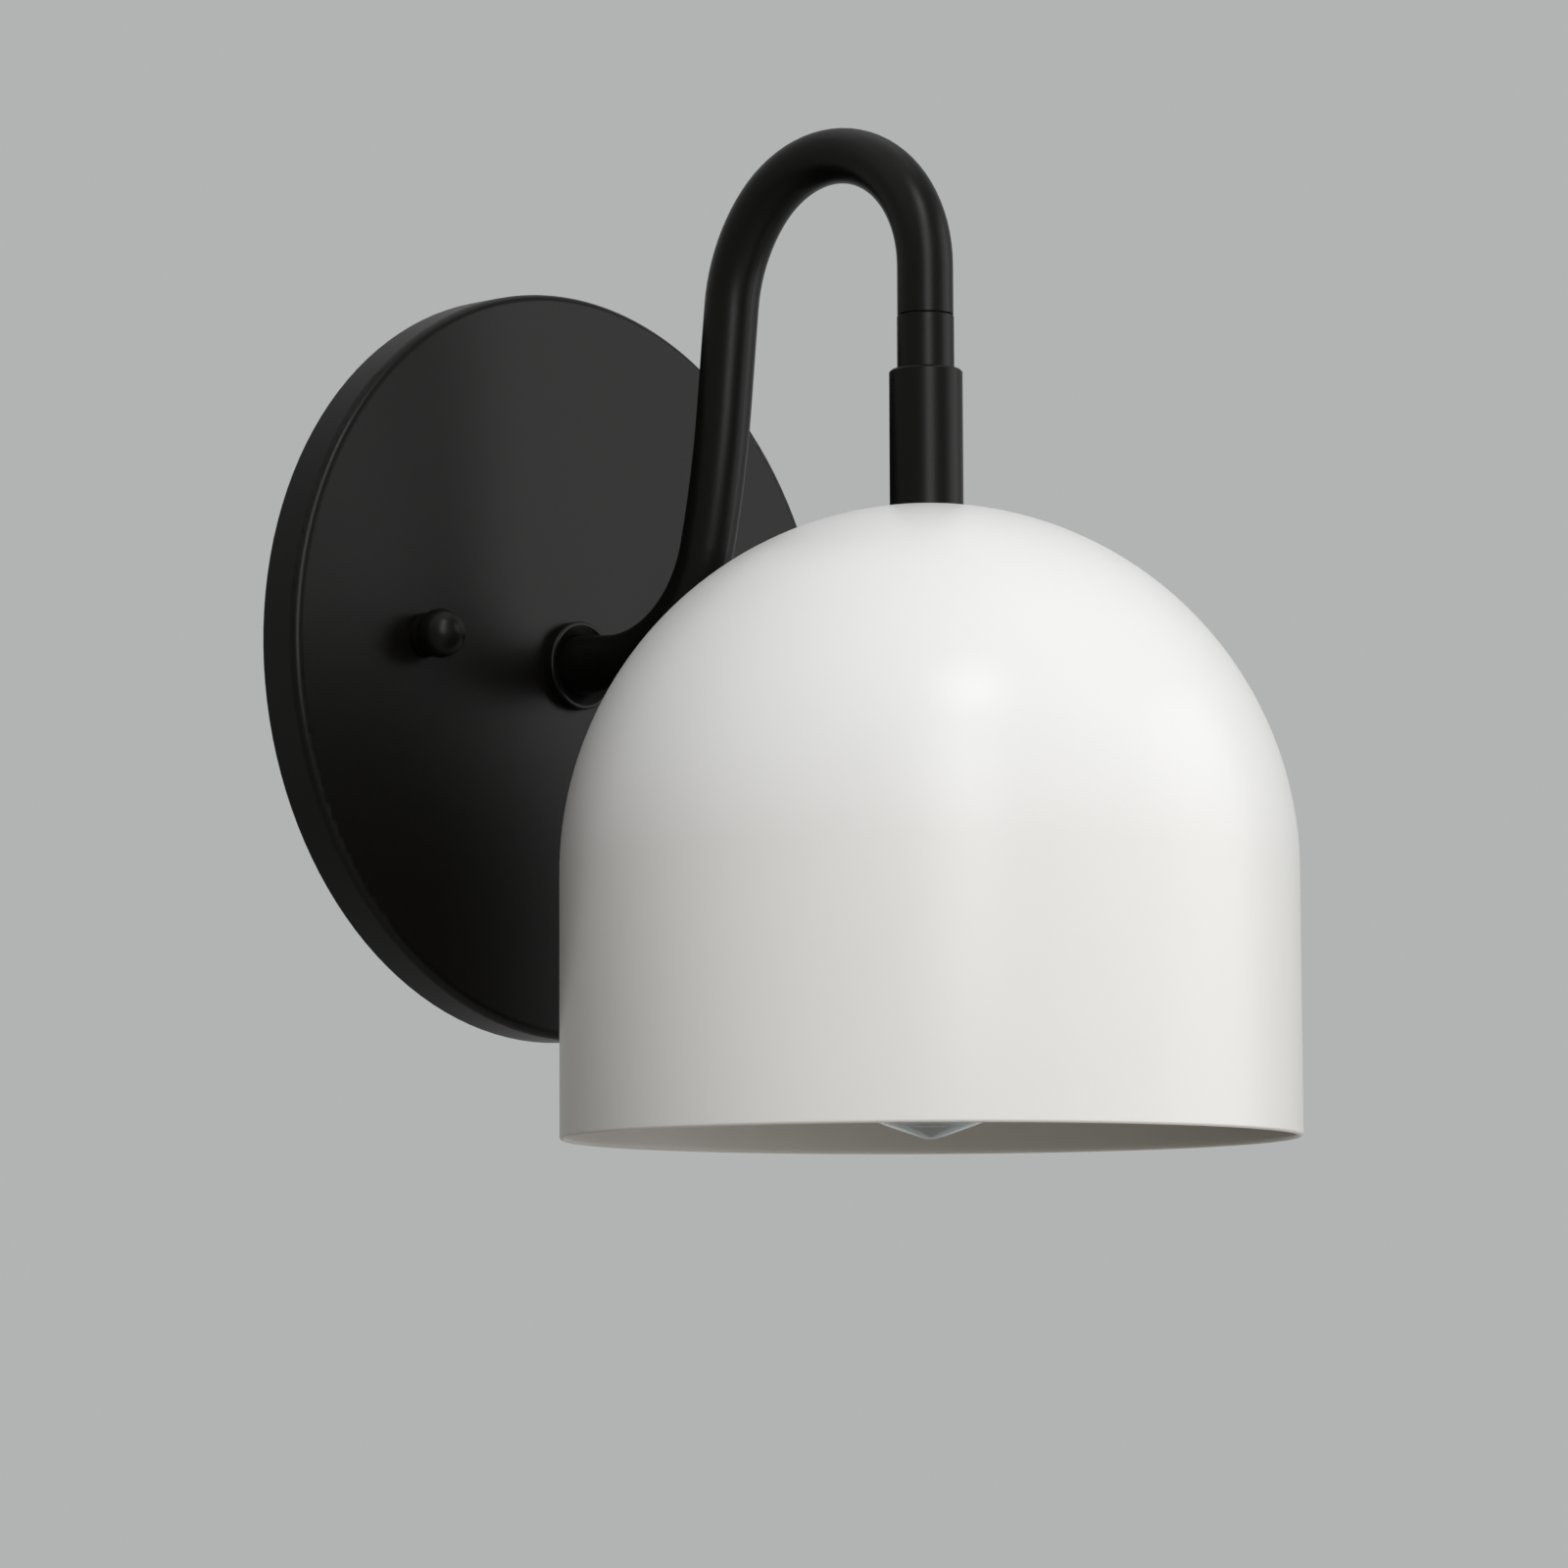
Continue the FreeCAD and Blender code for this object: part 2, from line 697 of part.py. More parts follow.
def terminal_screws():
    """Two binding screws that clamp the cores."""
    head_top = terminal_head_z + terminal_head_height
    screw = rod(terminal_screw_radius, floor_top - terminal_screw_bite, terminal_head_z)
    screw = screw.fuse(rod(terminal_head_radius, terminal_head_z, head_top))
    slot = Part.makeBox(terminal_slot_width, 4 * terminal_head_radius, 2 * terminal_slot_depth,
                        FreeCAD.Vector(-terminal_slot_width / 2, -2 * terminal_head_radius,
                                       head_top - terminal_slot_depth))
    screw = screw.cut(slot).removeSplitter()
    pair = [on_lamp_axis(moved(screw, side * terminal_offset, 0, 0)) for side in (-1, 1)]
    return Part.makeCompound(pair)


def terminal_core(side):
    """One insulated core from the cable's end to its terminal screw."""
    x_start = side * core_offset
    x_turn = side * (core_offset + core_bend_radius)
    x_end = side * terminal_offset
    slant = core_bend_radius * math.sqrt(0.5)
    turn_centre_z = core_z + core_bend_radius
    start = FreeCAD.Vector(x_start, lamp_y, core_start_z)
    bend_start = FreeCAD.Vector(x_start, lamp_y, turn_centre_z)
    bend_via = FreeCAD.Vector(x_turn - side * slant, lamp_y, turn_centre_z - slant)
    bend_end = FreeCAD.Vector(x_turn, lamp_y, core_z)
    end = FreeCAD.Vector(x_end, lamp_y, core_z)
    path = [Part.LineSegment(start, bend_start).toShape(),
            Part.Arc(bend_start, bend_via, bend_end).toShape(),
            Part.LineSegment(bend_end, end).toShape()]
    return pipe(path, core_radius).cut(terminal_screw_room(side))


def terminal_screw_room(side):
    """Room for the terminal screw's shank at the core's end."""
    room = rod(terminal_screw_radius, floor_top - 1, terminal_head_z + 1)
    return on_lamp_axis(moved(room, side * terminal_offset, 0, 0))


# ---------------------------------------------------------------- lamp
def below(height):
    """Height on the lamp, measured down from its tip contact."""
    return contact_z - height


def glass_form(inset):
    """Bulb shape, drawn in from the outside by inset, as one closed solid."""
    slope = math.radians(bulb_tip_slope)
    rounding = bulb_tip_radius / math.cos(slope) - bulb_tip_radius
    centre_z = below(bulb_length - bulb_radius / math.cos(slope) + rounding)
    neck_z = below(bulb_neck_end)
    drop = neck_z - centre_z
    flare = (drop ** 2 + bulb_neck_radius ** 2 - bulb_radius ** 2) / (2 * (bulb_radius - bulb_neck_radius))
    flare_centre = (bulb_neck_radius + flare, neck_z)
    join_angle = math.degrees(math.atan2(drop, bulb_neck_radius + flare))
    radius = bulb_radius - inset
    tip_radius = bulb_tip_radius - inset
    tip_centre = (0.0, below(bulb_length) + bulb_tip_radius)
    cone_angle = -90 + bulb_tip_slope
    flare_inner = flare + inset
    top = below(base_length)
    neck = bulb_neck_radius - inset
    return turned((0, top), (neck, top), (neck, neck_z),
                  (on_circle(flare_centre, flare_inner, 180 + join_angle / 2),
                   on_circle((0, centre_z), radius, join_angle)),
                  (on_circle((0, centre_z), radius, (join_angle + cone_angle) / 2),
                   on_circle((0, centre_z), radius, cone_angle)),
                  on_circle(tip_centre, tip_radius, cone_angle),
                  (on_circle(tip_centre, tip_radius, (cone_angle - 90) / 2),
                   (0, tip_centre[1] - tip_radius)))


def bulb_glass():
    """Clear glass bulb, open at the neck where the stem is sealed in."""
    return on_lamp_axis(glass_form(0.0).cut(glass_form(bulb_glass_wall)))


def bulb_base():
    """Rolled base shell: its thread is drawn as rounded rings."""
    top = insulator_height + tip_contact_height
    shoulder = top + base_thread_depth
    root = base_radius - base_thread_depth
    inner = root - base_wall
    first = top + (base_length - top - base_thread_pitch * base_thread_count) / 2
    rings = [(root, below(first))]
    for index in range(base_thread_count):
        low = first + index * base_thread_pitch
        crest = (base_radius, below(low + base_thread_pitch / 2))
        rings.append((crest, (root, below(low + base_thread_pitch))))
    return on_lamp_axis(turned((base_lip_radius + base_wall, below(top)), (root, below(shoulder)), *rings,
                               (root, below(base_length)), (inner, below(base_length)),
                               (inner, below(shoulder + base_wall)), (base_lip_radius, below(top + base_wall)),
                               (base_lip_radius, below(top))))


def bulb_insulator():
    """Black glass ring between the base shell and the tip contact."""
    low = below(insulator_height + tip_contact_height)
    high = below(tip_contact_height)
    return on_lamp_axis(turned((0, low - base_wall), (base_lip_radius, low - base_wall), (base_lip_radius, low),
                               (tip_contact_radius, high), (0, high)))


def bulb_tip_contact():
    """Solder button on the lamp's base."""
    low = below(tip_contact_height)
    shoulder = below(tip_contact_height / 2)
    rise = tip_contact_height / 2
    dome = (tip_contact_radius ** 2 + rise ** 2) / (2 * rise)
    half_angle = math.degrees(math.asin(tip_contact_radius / dome))
    via = on_circle((0, contact_z - dome), dome, 90 - half_angle / 2)
    return on_lamp_axis(turned((0, low), (tip_contact_radius, low), (tip_contact_radius, shoulder),
                               (via, (0, contact_z))))


def bulb_stem():
    """Glass stem that carries the filaments."""
    foot = below(base_length)
    edge = bulb_neck_radius - bulb_glass_wall
    waist = below(base_length + stem_flare_height)
    return on_lamp_axis(turned((0, foot), (edge, foot), (edge, foot - stem_foot_height),
                               (stem_rod_radius, waist), (stem_rod_radius, below(stem_reach)),
                               (0, below(stem_reach))))


def filament_place(index):
    angle = 2 * math.pi * (index + 0.5) / filament_count
    return angle, filament_ring_radius * math.cos(angle), filament_ring_radius * math.sin(angle)


def bulb_filaments():
    """Upright filament rods round the stem."""
    low = below(stem_reach - filament_radius)
    rods = []
    for index in range(filament_count):
        angle, x, y = filament_place(index)
        rods.append(on_lamp_axis(moved(rod(filament_radius, low, low + filament_length), x, y, 0)))
    return Part.makeCompound(rods)


def filament_wires():
    """Short wires from the stem to both ends of each filament."""
    low = below(stem_reach - filament_radius)
    wires = []
    for index in range(filament_count):
        angle, x, y = filament_place(index)
        out = FreeCAD.Vector(math.cos(angle), math.sin(angle), 0)
        reach = filament_ring_radius - filament_radius - stem_rod_radius
        for height in (low + 2 * filament_wire_radius, low + filament_length - 2 * filament_wire_radius):
            start = FreeCAD.Vector(0, lamp_y, height) + out * stem_rod_radius
            wire = Part.makeCylinder(filament_wire_radius, reach, start, out)
            wires.append(wire.cut(moved(on_lamp_axis(rod(filament_radius, height - 1, height + 1)), x, y, 0)))
    return Part.makeCompound(wires)


# ---------------------------------------------------------------- output
PIECES = {
    "mounting_bracket": mounting_bracket(),
    "bracket_studs": bracket_studs(),
    "stud_lock_nuts": stud_lock_nuts(),
    "ground_screw": ground_screw(),
    "canopy": canopy(),
    "left_nut_washer": nut_washer(-1),
    "left_cap_nut": cap_nut(-1),
    "right_nut_washer": nut_washer(1),
    "right_cap_nut": cap_nut(1),
    "arm_tube": arm_tube(),
    "arm_collar": arm_collar(),
    "arm_nipple": arm_nipple(),
    "arm_lock_washer": arm_lock_washer(),
    "arm_hex_nut": arm_hex_nut(),
    "wire_bushing": wire_bushing(),
    "supply_cable": supply_cable(),
    "swivel_stem": swivel_stem(),
    "swivel_washer": swivel_washer(),
    "swivel_ring": swivel_ring(),
    "swivel_stop_screw": swivel_stop_screw(),
    "neck_tube": neck_tube(),
    "shade": shade(),
    "shade_nipple": shade_nipple(),
    "shade_washer": shade_washer(),
    "shade_lock_nut": shade_lock_nut(),
    "socket_cap": socket_cap(),
    "socket_body": socket_body(),
    "screw_shell": screw_shell(),
    "centre_contact": centre_contact(),
    "terminal_screws": terminal_screws(),
    "hot_core": terminal_core(1),
    "neutral_core": terminal_core(-1),
    "bulb_tip_contact": bulb_tip_contact(),
    "bulb_insulator": bulb_insulator(),
    "bulb_base": bulb_base(),
    "bulb_glass": bulb_glass(),
    "bulb_stem": bulb_stem(),
    "bulb_filaments": bulb_filaments(),
    "filament_wires": filament_wires(),
}

os.makedirs("parts", exist_ok=True)
for name, shape in PIECES.items():
    solids = len(shape.Solids)
    print("%-18s solids %d valid %s volume %.1f" % (name, solids, shape.isValid(), shape.Volume))
    shape.exportStep("parts/%s.step" % name)

print("shade axis %.2f mm from the wall, arm end at z %.2f, seat at z %.2f" % (-lamp_y, arm_end_z, seat_z))
print("rim at z %.2f, contact at z %.2f, bulb tip at z %.2f" % (rim_z, contact_z, below(bulb_length)))
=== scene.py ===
# %% [markdown]
# # A wall sconce with a gooseneck arm, dressed for its picture
# The CAD model already holds every piece at its real size. This file gives each piece its finish,
# adds the fine forms that a lathe or a thread roller would leave, and sets up the light and the
# camera. Everything is in metres. The canopy's back lies in the plane y = 0, the lamp stands out
# of that plane towards -Y, and +Z is up.

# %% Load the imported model
import json
import math

import bmesh
import bpy
from mathutils import Matrix, Vector

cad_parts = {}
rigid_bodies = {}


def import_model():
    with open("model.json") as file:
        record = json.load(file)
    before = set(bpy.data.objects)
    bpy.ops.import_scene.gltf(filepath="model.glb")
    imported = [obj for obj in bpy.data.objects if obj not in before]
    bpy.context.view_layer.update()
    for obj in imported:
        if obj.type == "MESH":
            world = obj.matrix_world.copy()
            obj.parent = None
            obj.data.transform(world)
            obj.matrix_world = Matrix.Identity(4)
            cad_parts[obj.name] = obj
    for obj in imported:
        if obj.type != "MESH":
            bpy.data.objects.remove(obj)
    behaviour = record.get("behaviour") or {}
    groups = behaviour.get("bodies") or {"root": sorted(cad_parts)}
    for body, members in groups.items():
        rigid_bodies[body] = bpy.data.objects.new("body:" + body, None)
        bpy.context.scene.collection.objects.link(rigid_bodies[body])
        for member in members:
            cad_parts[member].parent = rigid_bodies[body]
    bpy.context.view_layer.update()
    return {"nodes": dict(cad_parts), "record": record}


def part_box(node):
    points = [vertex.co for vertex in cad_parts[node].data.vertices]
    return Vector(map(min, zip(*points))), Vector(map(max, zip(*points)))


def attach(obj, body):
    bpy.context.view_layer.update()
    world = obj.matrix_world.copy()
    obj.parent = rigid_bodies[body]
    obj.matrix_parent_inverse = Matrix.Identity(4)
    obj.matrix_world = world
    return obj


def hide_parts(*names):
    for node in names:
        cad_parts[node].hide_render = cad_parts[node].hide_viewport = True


for leftover in list(bpy.data.objects):
    bpy.data.objects.remove(leftover)
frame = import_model()
nodes = frame["nodes"]

# %% [markdown]
# ## Measuring the CAD pieces
# New pieces have to fit the CAD pieces that they touch. Their sizes could be typed in again, but
# then a change in the CAD model would leave them behind, so they are measured. Every CAD node has
# a box round it, whose middle and span give a turned piece its axis, its radius and its length.

# %% Measure what the new pieces have to fit
MM = 0.001


def middle(node):
    """Centre of a CAD node's box."""
    low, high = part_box(node)
    return (low + high) / 2


def span(node):
    """Size of a CAD node's box along X, Y and Z."""
    low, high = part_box(node)
    return high - low


lamp_axis = middle("neck_tube").to_2d()
ON_LAMP_AXIS = Matrix.Translation(lamp_axis.to_3d())
print("lamp axis at x %.2f mm, y %.2f mm" % tuple(lamp_axis / MM))

# %% [markdown]
# ## The camera
# A product picture is taken from far away with a long lens, so that upright lines stay upright.
# The camera stands a little lower than the rim of the shade and looks up, which shows the bulb's
# tip. Its place and angles were worked out from the ellipses of the canopy and the rim.
# A Track To constraint could aim it, but a rotation matrix is exact and easy to read: its three
# columns are simply the camera's right, up and backward directions.

# %% Place the camera
CAMERA_PLACE = Vector((-974.3, -997.1, -171.9)) * MM
CAMERA_YAW = math.radians(46.700)
CAMERA_PITCH = math.radians(5.920)
CAMERA_ROLL = math.radians(-0.247)
LENS_MM = 135.0
SENSOR_MM = 36.0

ahead = Vector((math.sin(CAMERA_YAW) * math.cos(CAMERA_PITCH),
                math.cos(CAMERA_YAW) * math.cos(CAMERA_PITCH), math.sin(CAMERA_PITCH)))
level_right = Vector((math.cos(CAMERA_YAW), -math.sin(CAMERA_YAW), 0.0))
level_up = level_right.cross(ahead)
right = level_right * math.cos(CAMERA_ROLL) + level_up * math.sin(CAMERA_ROLL)
up = level_up * math.cos(CAMERA_ROLL) - level_right * math.sin(CAMERA_ROLL)

camera_data = bpy.data.cameras.new("camera")
camera_data.lens = LENS_MM
camera_data.sensor_width = SENSOR_MM
camera = bpy.data.objects.new("camera", camera_data)
bpy.context.scene.collection.objects.link(camera)
camera_turn = Matrix((right, up, -ahead)).transposed().to_4x4()
camera.matrix_world = Matrix.Translation(CAMERA_PLACE) @ camera_turn
bpy.context.scene.camera = camera
print("camera %.2f m from the shade" % (CAMERA_PLACE - middle("shade")).length)

# %% [markdown]
# ## Colour and shader nodes
# Hex colours are written for a screen (sRGB), but shaders count in linear light, so one function
# converts them. A second function adds a shader node with its settings and links. The Shader
# Editor could do the same by hand, but here every finish stays a few lines that can be read.

# %% Colour and node helpers
def linear(hex_colour):
    """Linear RGBA of an sRGB hex colour such as '#303030'."""
    channels = [int(hex_colour[i:i + 2], 16) / 255 for i in (1, 3, 5)]
    curve = [c / 12.92 if c <= 0.04045 else ((c + 0.055) / 1.055) ** 2.4 for c in channels]
    return (*curve, 1.0)


def add(tree, kind, inputs=None, **settings):
    """Add one shader node. inputs maps a socket to a value or to another node's output."""
    fresh = tree.nodes.new(kind)
    for key, value in settings.items():
        setattr(fresh, key, value)
    for key, value in (inputs or {}).items():
        if isinstance(value, bpy.types.NodeSocket):
            tree.links.new(value, fresh.inputs[key])
        else:
            fresh.inputs[key].default_value = value
    return fresh


def new_material(name, hex_colour, roughness, **sockets):
    """Material with one Principled shader. Returns the material, its node tree and the shader."""
    material = bpy.data.materials.new(name)
    material.use_nodes = True
    shader = material.node_tree.nodes["Principled BSDF"]
    shader.inputs["Base Color"].default_value = linear(hex_colour)
    shader.inputs["Roughness"].default_value = roughness
    for key, value in sockets.items():
        shader.inputs[key.replace("_", " ")].default_value = value
    return material, material.node_tree, shader


print("mid grey #808080 is %.3f in linear light" % linear("#808080")[0])

# %% [markdown]
# ## Studio light
# The world is a plain light grey. The camera, reflections and glass see it at full strength, and
# it lights matt surfaces with less, so that the lamps do the modelling. A picture of a studio
# could light the scene too, but lamps need no image, and each one has a job that can be named.

# %% Grey world
BACKGROUND = "#b2b4b3"
AMBIENT_STRENGTH = 0.10

world = bpy.data.worlds.new("studio")
bpy.context.scene.world = world
world.use_nodes = True
sky = world.node_tree
sky.nodes.clear()


def seen_directly(tree):
    """1 for camera, glossy and transmission rays, 0 for rays that light a matt surface."""
    ray = add(tree, "ShaderNodeLightPath").outputs
    seen = add(tree, "ShaderNodeMath",
               {0: ray["Is Camera Ray"], 1: ray["Is Transmission Ray"]}, operation="MAXIMUM")
    seen = add(tree, "ShaderNodeMath",
               {0: seen.outputs[0], 1: ray["Is Glossy Ray"]}, operation="MAXIMUM")
    return seen.outputs[0]


strength = add(sky, "ShaderNodeMix", {0: seen_directly(sky), 2: AMBIENT_STRENGTH, 3: 1.0})
glow = add(sky, "ShaderNodeBackground",
           {"Color": linear(BACKGROUND), "Strength": strength.outputs[0]})
add(sky, "ShaderNodeOutputWorld", {"Surface": glow.outputs[0]})
print("the world lights matt surfaces at %.0f %%" % (100 * AMBIENT_STRENGTH))

# %% [markdown]
# Area lamps stand for softboxes. A small one high in front gives the round highlight on the dome:
# a sphere mirrors a lamp where its normal lies halfway between lamp and camera, and the lamp's
# direction follows from that. An upright softbox just right of the camera gives most of the
# light, draws one soft streak down the round arm and a thin line on the canopy's rounded edge.
# The side lamp models the right of the shade and shines faintly back from the flat canopy. The
# crown lamp lights the top, a weak lamp keeps the upper left open, and another one, low down,
# reaches into the shade.

# %% Softboxes
level_ahead = Vector((math.sin(CAMERA_YAW), math.cos(CAMERA_YAW), 0.0))
sky_up = Vector((0, 0, 1))


def soft_lamp(name, toward, distance, size, power):
    """White area lamp in a direction from the shade, aimed at it. Metres and watts."""
    lamp_data = bpy.data.lights.new(name, "AREA")
    lamp_data.shape = "RECTANGLE"
    lamp_data.size, lamp_data.size_y = size
    lamp_data.energy = power
    lamp = bpy.data.objects.new(name, lamp_data)
    bpy.context.scene.collection.objects.link(lamp)
    direction = Vector(toward).normalized()
    aim = direction.to_track_quat("Z", "Y").to_matrix().to_4x4()
    lamp.matrix_world = Matrix.Translation(middle("shade") + direction * distance) @ aim
    print("lamp %s: %.0f W, %.1f m away" % (name, power, distance))


soft_lamp("highlight_lamp", sky_up * 0.77 + level_right * 0.17 - level_ahead * 0.61,
          1.5, (0.35, 0.3), 5.8)
soft_lamp("crown_lamp", sky_up * 0.98 - level_right * 0.05 + level_ahead * 0.10,
          1.8, (1.8, 1.8), 6.3)
soft_lamp("front_lamp", level_right * 0.17 + sky_up * 0.30 - level_ahead * 0.94,
          2.0, (0.7, 1.5), 22.5)
soft_lamp("side_lamp", level_right * 0.98 + sky_up * 0.15 + level_ahead * 0.06,
          1.8, (1.3, 1.8), 16.0)
soft_lamp("left_lamp", sky_up * 0.70 - level_right * 0.60 - level_ahead * 0.40,
          2.0, (1.6, 1.6), 4.5)
soft_lamp("low_lamp", level_right * 0.55 - sky_up * 0.35 - level_ahead * 0.75,
          1.5, (0.8, 0.5), 0.9)

# %% [markdown]
# The floor is a plain disc well below the shade. A bent sheet would hide the horizon as well, but
# only from one side. The disc fades towards its edge into the background's own colour, so that
# no edge shows from anywhere. The fade is only for rays that see the floor. As a light it stays
# dull and a little warm.

# %% Floor
FLOOR_DROP = 0.80
FLOOR_RADIUS = 4.0
FLOOR_PAINT = "#dcdcda"
FLOOR_BOUNCE = "#aea598"
FADE_START = 0.8
FADE_END = 3.0


def make_floor():
    """Pale disc under the object, part of the stage and not of the object."""
    mesh = bpy.data.meshes.new("floor")
    disc = bmesh.new()
    bmesh.ops.create_circle(disc, cap_ends=True, segments=128, radius=FLOOR_RADIUS)
    bmesh.ops.translate(disc, verts=disc.verts, vec=(0, 0, -FLOOR_DROP))
    disc.to_mesh(mesh)
    disc.free()
    floor = bpy.data.objects.new("floor", mesh)
    bpy.context.scene.collection.objects.link(floor)
    material, tree, shader = new_material("matt_floor_paint", FLOOR_PAINT, 0.9)
    place = add(tree, "ShaderNodeTexCoord").outputs["Object"]
    reach = add(tree, "ShaderNodeVectorMath", {0: place}, operation="LENGTH")
    fade = add(tree, "ShaderNodeMapRange", {0: reach.outputs["Value"], 1: FADE_START, 2: FADE_END},
               interpolation_type="SMOOTHSTEP")
    share = add(tree, "ShaderNodeMath", {0: fade.outputs[0], 1: seen_directly(tree)},
                operation="MULTIPLY")
    paint = add(tree, "ShaderNodeMix",
                {0: seen_directly(tree), 6: linear(FLOOR_BOUNCE), 7: linear(FLOOR_PAINT)},
                data_type="RGBA")
    tree.links.new(paint.outputs[2], shader.inputs["Base Color"])
    haze = add(tree, "ShaderNodeEmission", {"Color": linear(BACKGROUND)})
    mix = add(tree, "ShaderNodeMixShader",
              {0: share.outputs[0], 1: shader.outputs[0], 2: haze.outputs[0]})
    tree.links.new(mix.outputs[0], tree.nodes["Material Output"].inputs["Surface"])
    mesh.materials.append(material)
    print("floor %.1f m across, %.1f m below the origin" % (2 * FLOOR_RADIUS, FLOOR_DROP))


make_floor()

# %% [markdown]
# ## Powder coat
# The black and the white parts are steel with a polyester powder coat. The powder melts in an
# oven and flows out, but not quite flat: it leaves an orange peel of about a millimetre, with a
# finer grain in it. A painted image could show that too, but it has seams and one fixed
# sharpness. Two noise textures of real size drive the bump instead, and a third shifts the
# colour a very little.

# %% Powder coat finishes
ORANGE_PEEL = 1.4 * MM
POWDER_GRAIN = 0.4 * MM  # the real grain is finer, and is drawn as coarse as it has to be to show
TONE_CLOUD = 22 * MM
GRAIN_SHARE = 0.3
GLOSS_SWING = 0.05


def powder_coat(name, hex_colour, roughness, peel, drift, **sockets):
    """Satin polyester powder coat. peel is the orange peel's height, drift the change in tone."""
    material, tree, shader = new_material(name, hex_colour, roughness, **sockets)
    place = add(tree, "ShaderNodeTexCoord").outputs["Object"]
    orange_peel = add(tree, "ShaderNodeTexNoise",
                      {"Vector": place, "Scale": 1 / ORANGE_PEEL, "Detail": 1.0})
    grain = add(tree, "ShaderNodeTexNoise",
                {"Vector": place, "Scale": 1 / POWDER_GRAIN, "Detail": 2.0})
    cloud = add(tree, "ShaderNodeTexNoise",
                {"Vector": place, "Scale": 1 / TONE_CLOUD, "Detail": 2.0})
    height = add(tree, "ShaderNodeMix",
                 {0: GRAIN_SHARE, 2: orange_peel.outputs[0], 3: grain.outputs[0]})
    bump = add(tree, "ShaderNodeBump",
               {"Strength": 1.0, "Distance": peel, "Height": height.outputs[0]})
    tree.links.new(bump.outputs[0], shader.inputs["Normal"])
    tone = add(tree, "ShaderNodeMapRange", {0: cloud.outputs[0], 3: 1 - drift, 4: 1 + drift})
    colour = add(tree, "ShaderNodeVectorMath",
                 {0: linear(hex_colour)[:3], "Scale": tone.outputs[0]}, operation="SCALE")
    tree.links.new(colour.outputs[0], shader.inputs["Base Color"])
    gloss = add(tree, "ShaderNodeMapRange",
                {0: grain.outputs[0], 3: roughness - GLOSS_SWING, 4: roughness + GLOSS_SWING})
    tree.links.new(gloss.outputs[0], shader.inputs["Roughness"])
    return material


# Black with little gloss: edges and round parts show soft streaks, flat parts stay dark.
black_coat = powder_coat("satin_black_powder_coat", "#080706", 0.36, 0.010 * MM, 0.06,
                         Specular_IOR_Level=0.14)
# White with a soft sheen: shape shows through shade and one broad highlight.
white_coat = powder_coat("satin_white_powder_coat", "#e9e9e8", 0.32, 0.010 * MM, 0.012,
                         Specular_IOR_Level=0.20)
finishes = {"black_powder_coat": black_coat, "white_powder_coat": white_coat}
print("powder coats:", len(finishes))

# %% [markdown]
# ## Metals
# Small parts are plated or left bare. A single roughness would look like plastic foil, so gloss
# and tone drift together in soft patches, as plating and handling leave them. Fine scuffs are a
# bump. They are finer on the real parts, and are drawn as coarse as they have to be to show.

# %% Metal finishes
SCUFF = 0.5 * MM
SCUFF_DEPTH = 0.004 * MM
DARKEST_PATCH = 0.88
LIGHTEST_PATCH = 1.08


def metal(name, hex_colour, roughness, patch, swing):
    """Plated or bare metal whose gloss changes in soft patches of a real size."""
    material, tree, shader = new_material(name, hex_colour, roughness, Metallic=1.0)
    place = add(tree, "ShaderNodeTexCoord").outputs["Object"]
    patches = add(tree, "ShaderNodeTexNoise", {"Vector": place, "Scale": 1 / patch, "Detail": 4.0})
    gloss = add(tree, "ShaderNodeMapRange",
                {0: patches.outputs[0], 3: roughness - swing, 4: roughness + swing})
    tree.links.new(gloss.outputs[0], shader.inputs["Roughness"])
    tone = add(tree, "ShaderNodeMapRange",
               {0: patches.outputs[0], 3: DARKEST_PATCH, 4: LIGHTEST_PATCH})
    colour = add(tree, "ShaderNodeVectorMath",
                 {0: linear(hex_colour)[:3], "Scale": tone.outputs[0]}, operation="SCALE")
    tree.links.new(colour.outputs[0], shader.inputs["Base Color"])
    scuffs = add(tree, "ShaderNodeTexNoise", {"Vector": place, "Scale": 1 / SCUFF, "Detail": 3.0})
    bump = add(tree, "ShaderNodeBump",
               {"Strength": 1.0, "Distance": SCUFF_DEPTH, "Height": scuffs.outputs[0]})
    tree.links.new(bump.outputs[0], shader.inputs["Normal"])
    return material


# Zinc plate: cold grey, half bright, cloudy.
finishes["zinc_steel"] = metal("zinc_plated_steel", "#b4b8bc", 0.34, 3.0 * MM, 0.08)
# Green passivation marks the earth screw: as bright as zinc, but tinted.
finishes["green_screw"] = metal("green_passivated_steel", "#2f7a46", 0.36, 2.0 * MM, 0.06)
# Turned brass: warm and fairly bright.
finishes["brass"] = metal("turned_brass", "#cda45c", 0.26, 2.5 * MM, 0.06)
# Nickel over brass: the brightest metal here, with a faint warm cast.
finishes["nickel_brass"] = metal("nickel_plated_brass", "#c9c5bb", 0.20, 3.0 * MM, 0.05)
# Tin solder: dull silver, uneven where it set.
finishes["solder"] = metal("tin_solder", "#a9abad", 0.38, 1.0 * MM, 0.08)
# Drawn wire: mid grey and smooth.
finishes["steel_wire"] = metal("drawn_steel_wire", "#9a9c9e", 0.30, 1.0 * MM, 0.05)
print("metals done, finishes so far:", len(finishes))

# %% [markdown]
# ## Plastics and the black glass of the bulb's base
# A moulded or extruded skin copies the fine texture of its tool. One noise of that texture's size
# drives both a low bump and the gloss, so that raised spots are also the shinier ones. Colour
# needs no pattern, because the plastic is dyed right through.

# %% Plastic finishes
SKIN_SWING = 0.06


